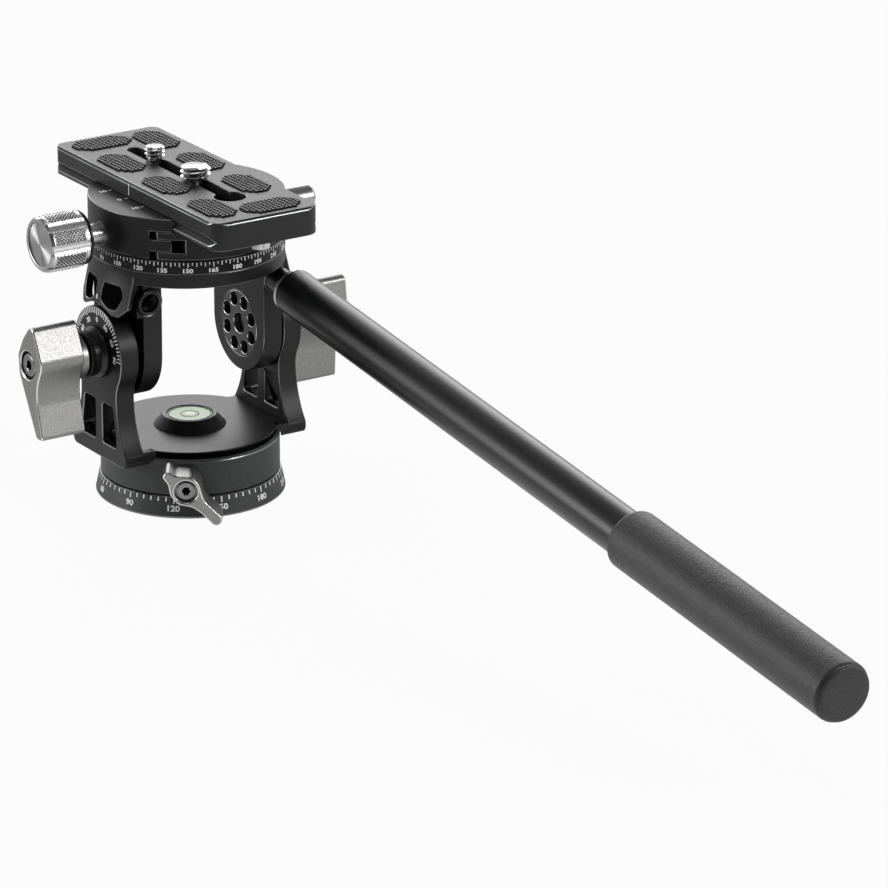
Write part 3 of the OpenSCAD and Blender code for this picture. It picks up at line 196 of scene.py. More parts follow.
brass = finish("plain_brass", (0.55, 0.40, 0.17), (0.68, 0.52, 0.24), (0.24, 0.34), metallic=1.0)
washer = finish("slip_washer", grey(0.70, 0.01), grey(0.80, 0.01), (0.45, 0.58), bump=0.05)
rubber = finish("pad_rubber", grey(0.003), grey(0.007), (0.55, 0.70),
                grain=9000.0, bump=0.25, ior=1.2)
# Lighter grey rubber for the pyramids' flat tops
rubber_tops = finish("pad_rubber_tops", grey(0.10), grey(0.16), (0.50, 0.66),
                     cloud=500.0, grain=9000.0)
paint = finish("scale_paint", grey(0.86), grey(0.96), (0.42, 0.55), cloud=900.0)

BY_SLOT = {"black_anodised": anodised, "black_gloss": gloss, "black_plastic": plastic,
           "titanium_grey": titanium, "bright_metal": bright, "chrome_screw": chrome,
           "steel": steel, "brass": brass, "slip_washer": washer, "pad_rubber": rubber}


def foam_material():
    """Speckled black foam with a fine grain."""
    mat, tree, bsdf = shader("grip_foam")
    cells = tree.nodes.new("ShaderNodeTexVoronoi")
    cells.inputs["Scale"].default_value = 2400.0
    tree.links.new(own_place(tree), cells.inputs["Vector"])
    speckle = noise(tree, 1500.0, detail=6.0, roughness=0.75)
    colour = ramp(tree, speckle, [(0.36, grey(0.004)), (0.52, grey(0.010)), (0.68, grey(0.030))])
    tree.links.new(colour, bsdf.inputs["Base Color"])
    rough = spread(tree, cells.outputs["Distance"], 0.36, 0.52, start=0.0, end=0.6)
    tree.links.new(rough, bsdf.inputs["Roughness"])
    relief(tree, bsdf, speckle, strength=0.5, depth_mm=0.2)
    bsdf.inputs["IOR"].default_value = 1.5
    bsdf.inputs["Sheen Weight"].default_value = 0.06
    bsdf.inputs["Sheen Roughness"].default_value = 0.6
    return mat


def by_radius(name, stops, reach_mm, rough, ior):
    """Colour that changes with the distance from the pan axis, for the round level."""
    mat, tree, bsdf = shader(name)
    length = tree.nodes.new("ShaderNodeVectorMath")
    length.operation = "LENGTH"
    tree.links.new(own_place(tree, (1, 1, 0)), length.inputs[0])
    share = spread(tree, length.outputs["Value"], 0, 1, start=0, end=reach_mm * MM)
    tree.links.new(ramp(tree, share, stops), bsdf.inputs["Base Color"])
    tree.links.new(spread(tree, noise(tree, 2500.0), *rough), bsdf.inputs["Roughness"])
    bsdf.inputs["IOR"].default_value = ior
    return mat


def spun_material():
    """Metal turned on a lathe, with a fan of light about the knob's axis."""
    mat, tree, bsdf = shader("spun_metal")
    tangent = tree.nodes.new("ShaderNodeTangent")
    tangent.direction_type = "RADIAL"
    tangent.axis = "X"
    tree.links.new(tangent.outputs["Tangent"], bsdf.inputs["Tangent"])
    clouds = noise(tree, 300.0, detail=3.0)
    colour = ramp(tree, clouds, [(0.3, grey(0.40)), (0.7, grey(0.48))])
    tree.links.new(colour, bsdf.inputs["Base Color"])
    tree.links.new(spread(tree, noise(tree, 3000.0), 0.44, 0.54), bsdf.inputs["Roughness"])
    bsdf.inputs["Metallic"].default_value = 1.0
    bsdf.inputs["Anisotropic"].default_value = 0.96
    return mat


foam = foam_material()
spun = spun_material()
level_liquid = by_radius("level_liquid",
                         [(0.0, (0.36, 0.52, 0.30)), (0.70, (0.34, 0.51, 0.27)),
                          (0.86, (0.42, 0.56, 0.36)), (0.90, (0.70, 0.72, 0.68))],
                         reach_mm=7.3, rough=(0.05, 0.12), ior=1.22)
level_bubble = by_radius("level_bubble",
                         [(0.0, (0.50, 0.60, 0.45)), (0.7, (0.46, 0.58, 0.40)),
                          (1.0, (0.22, 0.34, 0.16))],
                         reach_mm=2.2, rough=(0.05, 0.10), ior=1.3)


# Mesh helpers

JOIN_DISTANCE = 2e-6
FLAT_ANGLE = math.radians(0.4)
STRAY_SHARE = 0.55
BODY_INDEX, EDGE_INDEX = 0, 1


def make(name, verts, faces, mats, body, replaced=(), sharp=None):
    """A visible piece from points in metres and faces, on its body and slot."""
    mesh = bpy.data.meshes.new(name)
    mesh.from_pydata([tuple(v) for v in verts], [], faces)
    mesh.validate()
    mesh.shade_smooth()
    if sharp:
        mesh.set_sharp_from_angle(angle=math.radians(sharp))
    obj = bpy.data.objects.new(name, mesh)
    bpy.context.scene.collection.objects.link(obj)
    for mat in mats:
        mesh.materials.append(mat)
    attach(obj, body)
    if replaced:
        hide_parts(*replaced)
    return obj


def joined(*shapes):
    """Several (points, faces) as one."""
    verts, faces = [], []
    for more_verts, more_faces in shapes:
        shift = len(verts)
        verts += list(more_verts)
        faces += [tuple(i + shift for i in f) for f in more_faces]
    return verts, faces


def cad_mesh(node, keep=None):
    """The node's solid as a clean mesh: joined corners, flat faces in one piece."""
    bm = bmesh.new()
    bm.from_mesh(NODES[node].data)
    bmesh.ops.remove_doubles(bm, verts=bm.verts, dist=JOIN_DISTANCE)
    if keep:
        gone = [f for f in bm.faces if not keep(f.calc_center_median() / MM)]
        bmesh.ops.delete(bm, geom=gone, context="FACES")
    bmesh.ops.dissolve_limit(bm, angle_limit=FLAT_ANGLE, verts=bm.verts, edges=bm.edges)
    bm.verts.index_update()
    verts = [v.co.copy() for v in bm.verts]
    faces = [[v.index for v in f.verts] for f in bm.faces]
    bm.free()
    return verts, faces


def settle(obj):
    """Puts the modifiers into the mesh."""
    bpy.context.view_layer.update()
    shaped = obj.evaluated_get(bpy.context.evaluated_depsgraph_get())
    mesh = bpy.data.meshes.new_from_object(shaped)
    obj.modifiers.clear()
    obj.data = mesh


def weigh_edges(mesh, angle):
    """Marks the outer edges sharper than the angle for the bevel."""
    bm = bmesh.new()
    bm.from_mesh(mesh)
    weight = bm.edges.layers.float.new("bevel_weight_edge")
    for e in bm.edges:
        if e.is_convex and len(e.link_faces) == 2 and e.calc_face_angle() > math.radians(angle):
            e[weight] = 1.0
    bm.to_mesh(mesh)
    bm.free()


def dress(node, mat, edge, width=0.22, angle=32.0, segments=2):
    """The CAD solid with its outer edges broken, which catch the light as machined edges do."""
    verts, faces = cad_mesh(node)
    obj = make(node + "_dressed", verts, faces, [mat, edge], BODY_OF[node], [node],
               sharp=angle)
    weigh_edges(obj.data, angle)
    bevel = obj.modifiers.new("edges", "BEVEL")
    bevel.width = width * MM
    bevel.segments = segments
    bevel.limit_method = "WEIGHT"
    bevel.use_clamp_overlap = False
    bevel.material = EDGE_INDEX
    normals = obj.modifiers.new("normals", "WEIGHTED_NORMAL")
    normals.keep_sharp = True
    normals.weight = 60
    settle(obj)
    solid = BVHTree.FromPolygons(verts, faces)
    for v in obj.data.vertices:
        spot, _, _, away = solid.find_nearest(v.co)
        if away > STRAY_SHARE * width * MM:
            v.co = spot
    return obj


def lathe(radius, along, origin, axis, up, ends=(True, True), inside=False, ring=False):
    """Points and faces of rings about an axis: radius[i][j] at along[i], in mm.

    ends closes the first and the last ring, inside turns the faces inwards, and ring joins the
    last ring to the first.
    """
    axis = np.array(Vector(axis).normalized())
    up = np.array(Vector(up).normalized())
    side = np.cross(axis, up)
    radius = np.asarray(radius, float)
    m, n = radius.shape
    along = np.broadcast_to(np.asarray(along, float)[:, None], (m, n))
    turn = np.arange(n) * 2 * math.pi / n
    points = (np.array(origin, float) + (radius * np.cos(turn))[..., None] * up
              + (radius * np.sin(turn))[..., None] * side + along[..., None] * axis)
    verts = list(points.reshape(-1, 3))
    rows = range(m) if ring else range(m - 1)
    faces = [(i * n + j, i * n + (j + 1) % n, (i + 1) % m * n + (j + 1) % n, (i + 1) % m * n + j)
             for i in rows for j in range(n)]
    for i, wanted in ((0, ends[0]), (m - 1, ends[1])):
        if wanted and not ring:
            verts.append(points[i].mean(0))
            centre = len(verts) - 1
            fan = [(i * n + (j + 1) % n, i * n + j, centre) for j in range(n)]
            faces += fan if i == 0 else [f[::-1] for f in fan]
    if inside:
        faces = [f[::-1] for f in faces]
    return [v * MM for v in verts], faces


def turned(profile, n, **place):
    """A plain lathe of a profile [(radius, along), ...]."""
    return lathe([[r] * n for r, _ in profile], [a for _, a in profile], **place)


def triangle(t):
    """A wave of period 1 with straight flanks, from 0 to 1."""
    return np.abs(2 * (t - np.floor(t)) - 1)


def recolour(piece, index, wanted):
    """Gives the faces that wanted(face) picks another of the piece's materials."""
    for polygon in piece.data.polygons:
        if wanted(polygon):
            polygon.material_index = index


def in_shadow(piece, inside):
    """Paints shade into a hollow: gives the faces that inside() picks, by their middles in mm, the
    near-black painted shade material.
    """
    piece.data.materials.append(painted_shade)
    recolour(piece, len(piece.data.materials) - 1, lambda face: inside(*(face.center / MM)))


# Machined pieces: the CAD solids with broken edges

COATS = {"base_ring": blasted, "pan_housing": blasted, "upper_scale_ring": plastic,
         "quick_plate": plate_black}
YOKE_EDGE, BLACK_EDGE = 0.3, 0.22
# Where the deck's rim wall gets painted shade
DECK_SHADE_R, DECK_SHADE_Z = (27.2, 27.7), (18.9, 20.9)
FOOT_TOP, FOOT_INNER_Y = 22.5, 12
ARM_OUTER_X = 24.9
KEY_STEP, KEY_R = 0.12, 1.7


def shade_yoke(yoke):
    """Painted shade on the deck's rim wall, standing for the shadowed gap below the rim, and no
    bright edges at the feet.
    """
    in_shadow(yoke, lambda x, y, z: DECK_SHADE_R[0] < math.hypot(x, y) < DECK_SHADE_R[1]
              and DECK_SHADE_Z[0] < z < DECK_SHADE_Z[1])
    recolour(yoke, BODY_INDEX, lambda face: face.material_index == EDGE_INDEX
             and face.center.z < FOOT_TOP * MM and abs(face.center.y) > FOOT_INNER_Y * MM)


def hex_socket(screw, origin, axis):
    """Paints shade into the key socket in a cap screw's head."""
    axis, origin = Vector(axis), Vector(origin)

    def along(point):
        return (point - origin).dot(axis)
    top = max(along(v.co / MM) for v in screw.data.vertices)

    def in_socket(x, y, z):
        point = Vector((x, y, z))
        sunk = along(point) < top - KEY_STEP
        return sunk and (point - origin - along(point) * axis).length < KEY_R
    in_shadow(screw, in_socket)


for node in ("base_ring", "pan_housing", "yoke", "bridge", "bridge_arm_left", "bridge_arm_right",
             "upper_scale_ring", "clamp_body", "clamp_jaw", "quick_plate"):
    piece = dress(node, COATS.get(node, anodised), anodised_edge,
                  width=YOKE_EDGE if node == "yoke" else BLACK_EDGE)
    if node == "yoke":
        shade_yoke(piece)
    # The arms' outer faces, seen through the skirt's windows, get painted shade
    if node.startswith("bridge_arm"):
        in_shadow(piece, lambda x, y, z: abs(x) > ARM_OUTER_X)
for node in ("tilt_knob_left", "tilt_knob_right"):
    dress(node, titanium, titanium_edge, width=0.4, segments=3)
dress("pan_lock_wing", titanium, titanium_edge, width=0.42, segments=3)
for node in ("tilt_disc_left", "tilt_disc_right"):
    dress(node, disc_metal, bright, width=0.25)
dress("plate_stop_screws", bright, chrome, width=0.18)
for node, origin, axis in (("tilt_cap_screw_left", (0, 0, TILT_Z), (-1, 0, 0)),
                           ("tilt_cap_screw_right", (0, 0, TILT_Z), (1, 0, 0)),
                           ("pan_lock_cap_screw", (0, 0, LOCK_Z), LOCK_DIR)):
    hex_socket(dress(node, screw_steel, screw_edge, width=0.18), origin, axis)
for node in ("tilt_bush_left", "tilt_bush_right", "handle_neck", "handle_socket_left",
             "handle_socket_right", "handle_tube"):
    dress(node, gloss, gloss_edge, width=0.25)
for node, mat, edge in (("handle_collar", bright, chrome), ("clamp_screw", knurl, chrome),
                        ("upper_lock_knob", satin, bright), ("level_bezel", plastic, gloss_edge)):
    dress(node, mat, edge, width=0.25)


def foot_corners():
    """Square front edges of the yoke's foot bars, level with the deck."""
    inner_x, outer_x = 22.0, 26.4
    section = [(13.9, 21.1), (16.15, 21.1), (16.4, 20.95), (16.5, 20.6), (16.5, 18.7),
               (13.9, 18.7)]
    n = len(section)
    walls = [(k, (k + 1) % n, n + (k + 1) % n, n + k) for k in range(n)]
    walls += [tuple(range(n - 1, -1, -1)), tuple(range(n, 2 * n))]
    bars = []
    for side in (-1, 1):
        points = [np.array((side * x, -y, z)) * MM for x in (inner_x, outer_x) for y, z in section]
        bars.append((points, walls if side > 0 else [f[::-1] for f in walls]))
    verts, faces = joined(*bars)
    make("foot_corners", verts, faces, [anodised], "pan_head", sharp=40)


foot_corners()


# Threads: on the camera screws, above their CAD head and neck, and in the two open sockets

def thread_ridge(along, n, pitch, steepness, root):
    """Height of a thread, 0 in its root to 1 on its crest, at n angles of each ring."""
    turn = np.arange(n) / n
    return np.clip(steepness * triangle(along[:, None] / pitch - turn[None, :]) - root, 0, 1)


def camera_screw(node, y, r, pitch):
    low, high, chamfer, run_out = 103.4, 107.1, 0.55, 0.5
    neck_r, skin, depth_share, shade_below = 2.2, 0.02, 0.58, 0.16
    n, rows = 120, 100
    depth = depth_share * pitch
    root = r - depth
    along = np.linspace(low, high, rows)
    ridge = thread_ridge(along, n, pitch, steepness=1.35, root=0.18)
    radius = r - skin - depth * (1 - ridge)
    fade = np.clip((along - low) / run_out, 0, 1)[:, None]
    radius = root + (radius - root) * fade
    radius = np.minimum(radius, r - np.clip(along - (high - chamfer), 0, None)[:, None])
    place = dict(origin=(0, y, 0), **Z_AXIS)
    thread = lathe(radius, along, ends=(False, True), **place)
    neck = lathe([[neck_r] * n, radius[0]], [low, low], ends=(False, False), **place)
    verts, faces = joined(thread, neck, cad_mesh(node, keep=lambda c: c.z < low - 0.01))
    screw = make(node + "_threaded", verts, faces, [chrome, painted_shade_metal], BODY_OF[node],
                 [node], sharp=60)
    # Painted shade: the thread's roots take the dark painted shade metal
    painted_shade_mask = ridge < shade_below
    recolour(screw, 1, lambda face: max(face.vertices) < painted_shade_mask.size
             and all(painted_shade_mask.flat[i] for i in face.vertices))


def socket_thread(name, body, slot, mat, crest, origin, axis, up, r, pitch, start, end):
    skin, depth_share, run_out, bright_above, rings_a_turn = 0.015, 0.5, 0.6, 0.6, 12
    n, rows = 72, int((end - start) / pitch * rings_a_turn)
    along = np.linspace(start, end, rows)
    from_ends = np.minimum(along - start, end - along)
    fade = np.clip(from_ends / (run_out * pitch), 0, 1)[:, None]
    ridge = thread_ridge(along, n, pitch, steepness=1.3, root=0.15) * fade
    radius = r - skin - depth_share * pitch * ridge
    verts, faces = lathe(radius, along, origin, axis, up, ends=(False, False), inside=True)
    piece = make(name, verts, faces, [mat, crest], body, sharp=50)
    recolour(piece, 1, lambda face: min(ridge.flat[i] for i in face.vertices) > bright_above)


camera_screw("camera_screw_small", 19.3, **QUARTER_INCH)
camera_screw("camera_screw_large", -5.6, **THREE_EIGHTHS)
# The open handle socket is painted shade: near-black, with crests in the dark painted shade metal
socket_thread("socket_thread_left", "bridge", "black_gloss", painted_shade, painted_shade_metal,
              (-SOCKET_X, SOCKET_Y, SOCKET_Z), HANDLE_DIR, HANDLE_UP, r=3.0, pitch=1.0,
              start=-9.9, end=-0.15)
socket_thread("tripod_thread", "base", "brass", brass, brass, (0, 0, 0), **Z_AXIS,
              **THREE_EIGHTHS, start=0.15, end=9.9)


# Clamp knob: seven smooth flutes with a diamond knurl between them, a spun end and a dark ring

KNOB_BACK, KNOB_FRONT, KNOB_R = 38.6, 52.4, 9.0
KNOB_PLACE = dict(origin=(0, 0, 89.1), axis=(-1, 0, 0), up=(0, 0, 1))


def flute_wall(turn):
    """Distance of the flutes' walls from the knob's axis, far out between the flutes."""
    flutes, flute_r, depth, first, clear = 7, 2.6, 1.0, math.radians(12), 99.0
    step = 2 * math.pi / flutes
    off = (turn - first + step / 2) % step - step / 2
    far = KNOB_R + flute_r - depth
    inside = flute_r ** 2 - (far * np.sin(off)) ** 2
    wall = far * np.cos(off) - np.sqrt(np.clip(inside, 0, None))
    return np.where(inside > 0, wall, clear)


def knob_body():
    back, front = KNOB_BACK, KNOB_FRONT
    starts, points_each, knurl_step = 48, 10, 0.1
    knurl_depth, crest_share, shade_above, rim = 0.42, 0.25, 0.58, 0.8
    n = starts * points_each
    turn = np.arange(n) * 2 * math.pi / n
    knurl_low, knurl_high = back + 2.0, front - 1.55
    outline = [(3.6, back), (8.05, back), (8.45, back + 0.35), (8.75, back + 0.65),
               (8.75, back + 1.45), (8.4, back + 1.55), (8.4, back + 1.8), (8.8, back + 1.9)]
    outline += [(KNOB_R, a) for a in np.arange(knurl_low, knurl_high, knurl_step)]
    outline += [(8.7, front - 1.45), (8.5, front - 1.4), (8.5, front - 1.2), (8.7, front - 1.1),
                (8.7, front - 0.75), (8.05, front), (7.25, front), (7.0, front - 0.12),
                (7.0, front - 0.42)]
    profile = np.array([p[0] for p in outline])
    along = np.array([p[1] for p in outline])
    radius = np.repeat(profile[:, None], n, axis=1)
    pitch = 2 * math.pi * KNOB_R / starts
    around = turn[None, :] * KNOB_R / pitch
    forward = along[:, None] / pitch
    groove = np.maximum(triangle(around + forward), triangle(around - forward))
    knurled = (along >= knurl_low - 1e-6) & (along <= knurl_high)
    radius[knurled] -= knurl_depth * np.clip(groove[knurled] - crest_share, 0, 1)
    scoop = flute_wall(turn)
    radius = np.minimum(radius, np.maximum(scoop[None, :], 0.0))
    verts, faces = lathe(radius, along, ends=(False, False), **KNOB_PLACE)
    knob = make("clamp_knob_knurled", verts, faces, [knurl, painted_shade_metal, satin], "clamp_knob",
                ["clamp_knob"], sharp=42)
    # Painted shade: the knurl's deep grooves, away from the flutes, take the dark painted shade
    # metal
    painted_shade_mask = knurled[:, None] & (groove > shade_above) & (scoop[None, :] > KNOB_R)
    recolour(knob, 2, lambda face: face.center.x < -(front - rim) * MM)
    recolour(knob, 1, lambda face: sum(painted_shade_mask.flat[i] for i in face.vertices) > 2)


def knob_ends():
    back, front = KNOB_BACK, KNOB_FRONT
    disc = [(7.02, front - 0.43), (6.4, front - 0.41), (4.4, front - 0.36), (2.2, front - 0.30),
            (0.3, front - 0.25)]
    verts, faces = turned(disc, 120, ends=(False, True), **KNOB_PLACE)
    make("clamp_knob_disc", verts, faces, [spun], "clamp_knob")
    collar = [(3.6, back - 0.02), (3.6, back - 0.95), (8.2, back - 0.95), (8.5, back - 0.7),
              (8.5, back - 0.25), (8.3, back - 0.02)]
    verts, faces = turned(collar, 120, ring=True, inside=True, **KNOB_PLACE)
    make("clamp_knob_collar", verts, faces, [gloss], "clamp_knob",
         ["clamp_knob_ring"], sharp=40)


knob_body()
knob_ends()


# Rubber pads with rows of small blunt pyramids

PAD_L, PAD_END_L, PAD_W = 20.0, 20.5, 10.6
LEFT_PADS, RIGHT_PADS, PAD_X = (21.2, -6.3, -33.8), (37.0, 9.5, -18.0), 10.8
END_PADS = ((-5.5, 42.8), (5.5, -40.8))


def pad_corners(l, w):
    """The pad's edge as points: an octagon with rounded corners."""
    cut_l, cut_w, r, steps = 0.2 * l, 0.3 * w, 3.8, 6
    corners = [(-w / 2, -l / 2 + cut_l), (-w / 2 + cut_w, -l / 2), (w / 2 - cut_w, -l / 2),
               (w / 2, -l / 2 + cut_l), (w / 2, l / 2 - cut_l), (w / 2 - cut_w, l / 2),
               (-w / 2 + cut_w, l / 2), (-w / 2, l / 2 - cut_l)]
    points = []
    for i, at in enumerate(corners):
        at = Vector(at)
        before = (Vector(corners[i - 1]) - at).normalized()
        after = (Vector(corners[(i + 1) % 8]) - at).normalized()
        half = before.angle(after) / 2
        reach = r / math.tan(half)
        centre = at + (before + after).normalized() * (r / math.sin(half))
        first, last = at + before * reach - centre, at + after * reach - centre
        points += [centre + first.lerp(last, k / steps).normalized() * r for k in range(steps + 1)]
    return points


def pad_outline(l, w, count):
    """Distance from the pad's centre to its rounded edge, for count directions."""
    points = pad_corners(l, w)
    order = np.argsort([math.atan2(p.y, p.x) for p in points])
    ring = np.array([points[i] for i in order])
    ring = np.vstack([ring[-1], ring, ring[0]])
    spokes = np.arange(count) * 2 * math.pi / count - math.pi
    out = []
    for a in spokes:
        d = np.array([math.cos(a), math.sin(a)])
        best = 0.0
        for p, q in zip(ring[:-1], ring[1:]):
            e = q - p
            det = d[0] * -e[1] + d[1] * e[0]
            if abs(det) < 1e-12:
                continue
            t = (p[0] * -e[1] + p[1] * e[0]) / det
            s = (d[0] * p[1] - d[1] * p[0]) / det
            if t > 0 and -1e-6 <= s <= 1 + 1e-6:
                best = max(best, t)
        out.append(best)
    return spokes, np.array(out)


def pad(verts, faces, top_faces, x, y, l, w, across):
    """A thin rubber base with pyramids up to its edge. top_faces collects their flat tops, which
    take a lighter grey rubber.
    """
    skin, top, pitch, crown, foot, margin = 102.92, 103.18, 1.5, 0.60, 0.97, 0.3
    seam, bevel, inset, sunk = 0.01, 0.06, 0.99, 0.02
    spokes, reach = pad_outline(l, w, count=160)

    def put(px, py, z):
        if across:
            px, py = -py, px
        return np.array((x + px, y + py, z)) * MM
    n = len(spokes)
    shift = len(verts)
    for share, z in ((1.0, PLATE_TOP + seam), (1.0, skin - bevel), (inset, skin)):
        verts += [put(share * r * math.cos(a), share * r * math.sin(a), z)
                  for a, r in zip(spokes, reach)]
    faces += [(shift + i * n + j, shift + i * n + (j + 1) % n, shift + (i + 1) * n + (j + 1) % n,
               shift + (i + 1) * n + j) for i in range(2) for j in range(n)]
    faces.append([shift + 2 * n + j for j in range(n)])
    half = pitch / 2
    count = int(l / pitch) + 2
    for i in range(-count, count + 1):
        for j in range(-count, count + 1):
            cx, cy = i * pitch, j * pitch
            limit = np.interp(math.atan2(cy, cx), spokes, reach, period=2 * math.pi)
            if math.hypot(cx, cy) > limit - margin:
                continue
            shift = len(verts)
            for size, z in ((half * foot, skin - sunk), (half * crown, top)):
                verts += [put(cx + size, cy - size, z), put(cx + size, cy + size, z),
                          put(cx - size, cy + size, z), put(cx - size, cy - size, z)]
            faces += [(shift + k, shift + (k + 1) % 4, shift + 4 + (k + 1) % 4, shift + 4 + k)
                      for k in range(4)]
            top_faces.append(len(faces))
            faces.append((shift + 4, shift + 5, shift + 6, shift + 7))


def pads():
    verts, faces, top_faces = [], [], []
    for y in LEFT_PADS:
        pad(verts, faces, top_faces, -PAD_X, y, PAD_L, PAD_W, False)
    for y in RIGHT_PADS:
        pad(verts, faces, top_faces, PAD_X, y, PAD_L, PAD_W, False)
    for x, y in END_PADS:
        pad(verts, faces, top_faces, x, y, PAD_END_L, PAD_W, True)
    obj = make("plate_pads_diamond", verts, faces, [rubber, rubber_tops], "plate",
               ["plate_pads"], sharp=25)
    for i in top_faces:
        obj.data.polygons[i].material_index = 1


pads()


# Round level: liquid with a shallow lens-shaped top, ring marks and bubble

def level():
    place = dict(origin=(0, 0, 0), **Z_AXIS)
    lens_r, lens_z, sag, steps = 6.6, 24.30, 0.10, 12
    dome = [(7.38, 22.0), (7.38, 24.2), (7.1, 24.42), (6.75, 24.42), (lens_r, lens_z)]
    dome += [(lens_r * (1 - k / steps), lens_z - sag * (1 - (1 - k / steps) ** 2))
             for k in range(1, steps)]
    verts, faces = turned(dome, 96, **place)
    make("level_liquid", verts, faces, [level_liquid], "pan_head", ["level_vial"],
         sharp=50)
    slant, thick = 0.02, 0.04
    for name, low, high, z in (("level_mark", 2.62, 3.0, 24.21), ("level_rim", 6.5, 7.15, 24.42)):
        mark = [(low, z), (low + slant, z + thick), (high - slant, z + thick), (high, z)]
        verts, faces = turned(mark[::-1], 80, ends=(False, False), **place)
        make(name, verts, faces, [plastic], "pan_head")
    bubble_r, bubble_z, bulge = 2.15, 24.20, 0.10
    bubble = [(bubble_r * math.cos(t), bubble_z + bulge * math.sin(t))
              for t in np.linspace(0.0, 1.5, 10)]
    verts, faces = turned(bubble, 64, ends=(False, True), origin=(0.15, 0.1, 0), **Z_AXIS)
    make("level_bubble", verts, faces, [level_bubble], "pan_head")


level()


# Foam grip and its end

def grip():
    inner, outer, start, end, round_r, step = 7.25, 9.28, 197.0, 301.2, 1.6, 0.5
    shoulder = outer - round_r
    arc = np.linspace(math.acos((inner - shoulder) / round_r), 0, 12)
    profile = [(shoulder + round_r * math.cos(t), start + round_r - round_r * math.sin(t))
               for t in arc]
    profile += [(outer, a) for a in np.arange(start + round_r + step, end - round_r, step)]
    profile += [(shoulder + round_r * math.cos(t), end - round_r + round_r * math.sin(t))
                for t in arc[::-1]]
    profile += [(inner, end - 2.0), (inner, start + 2.0)]
    n, skin, grain = 120, 0.03, 0.06
    field = np.random.default_rng(7).normal(size=(len(profile), n))
    near = (-1, 0, 1)
    soft = sum(np.roll(np.roll(field, i, 0), j, 1) for i in near for j in near) / 9
    radius = np.repeat(np.array([r for r, _ in profile])[:, None], n, axis=1)
    shown = radius > inner + 0.05
    radius = radius - np.where(shown, skin + grain * np.abs(soft), 0)
    verts, faces = lathe(radius, [a for _, a in profile], ring=True, **HANDLE_AXIS)
    foam_piece = make("handle_grip_foam", verts, faces, [foam], "handle",
                      ["handle_grip"])
    cap = [(6.0, 294.0), (6.0, 300.95), (8.1, 301.05), (8.55, 301.2), (8.55, 301.38),
           (8.35, 301.65), (7.9, 301.81), (7.2, 301.87), (4.5, 301.92), (2.2, 301.94)]
    verts, faces = turned(cap, 96, **HANDLE_AXIS)
    make("handle_end_disc", verts, faces, [foam], "handle", ["handle_end_cap"],
         sharp=50)


grip()


# Scales: white filled ticks and numbers

BOLDNESS = 0.034
MARK_LIFT = 0.045
LETTERS = {}


def letters(text):
    """A number in the built-in face: points of height 1 about its middle, and faces."""
    if text not in LETTERS:
        curve = bpy.data.curves.new("letters", "FONT")
        curve.body = text
        curve.resolution_u = 3
        curve.offset = BOLDNESS
        obj = bpy.data.objects.new("letters", curve)
        bpy.context.scene.collection.objects.link(obj)
        bpy.context.view_layer.update()
        shaped = obj.evaluated_get(bpy.context.evaluated_depsgraph_get())
        mesh = bpy.data.meshes.new_from_object(shaped)
        points = np.array([v.co[:2] for v in mesh.vertices])
        low, high = points.min(0), points.max(0)
        faces = [list(p.vertices) for p in mesh.polygons]
        LETTERS[text] = ((points - (low + high) / 2) / (high[1] - low[1]), faces)
        bpy.data.objects.remove(obj)
        bpy.data.curves.remove(curve)
        bpy.data.meshes.remove(mesh)
    return LETTERS[text]


class Marks:
    """Collects flat marks on a surface given by place(along, up) in mm."""

    def __init__(self):
        self.verts, self.faces = [], []

    def add(self, points, faces, place):
        shift = len(self.verts)
        self.verts += [np.array(place(u, v)) * MM for u, v in points]
        self.faces += [[i + shift for i in f] for f in faces]

    def number(self, text, height, place, stretch=1.0):
        points, faces = letters(text)
        self.add(points * (height * stretch, height), faces, place)

    def tick(self, width, low, high, place):
        steps = [(-width / 2, low), (width / 2, low), (width / 2, high), (-width / 2, high)]
        self.add(steps, [[0, 1, 2, 3]], place)

    def done(self, name, body):
        make(name, self.verts, self.faces, [paint], body)


def round_wall(radius_at, angle):
    """place() on a wall about the pan axis, at an angle in degrees; up is the height z."""
    def place(u, v):
        r = radius_at(v) + MARK_LIFT
        a = math.radians(angle) + u / r
        return (r * math.cos(a), r * math.sin(a), v)
    return place


def moved(place, up):
    return lambda u, v: place(u, v + up)


def base_scale():
    """On the base ring's cone, every 5 degrees, with numbers every 30."""
    foot_r, top_r, foot_z, height, zero_at = 29.9, 28.5, 0.6, 6.2, 109
    tick_w, long_low, short_low, tick_top = 0.45, 4.75, 5.3, 6.5
    number_h, number_z, stretch = 1.9, 3.24, 1.2
    marks = Marks()

    def cone(z):
        return foot_r - (z - foot_z) * (foot_r - top_r) / height
    for degree in range(0, 360, 5):
        wall = round_wall(cone, degree + zero_at)
        numbered = degree % 30 == 0
        marks.tick(tick_w, long_low if numbered else short_low, tick_top, wall)
        if numbered:
            marks.number(str(degree), number_h, moved(wall, number_z), stretch)
    marks.done("base_scale", "base")


def upper_scale():
    """On the upper ring, every 2.5 degrees, with numbers every 15."""
    ring_r, zero_at = 30.5, 90
    tick_w, long_low, mid_low, short_low, tick_top = 0.3, 82.4, 82.65, 83.1, 83.95
    number_h, number_z, stretch = 1.45, 81.35, 1.25
    marks = Marks()
    for half in range(0, 720, 5):
        degree = half / 2
        wall = round_wall(lambda z: ring_r, degree + zero_at)
        numbered = half % 30 == 0
        low = long_low if numbered else mid_low if half % 10 == 0 else short_low
        marks.tick(tick_w, low, tick_top, wall)
        if numbered:
            marks.number(str(int(degree)), number_h, moved(wall, number_z), stretch)
    marks.done("upper_scale", "bridge")


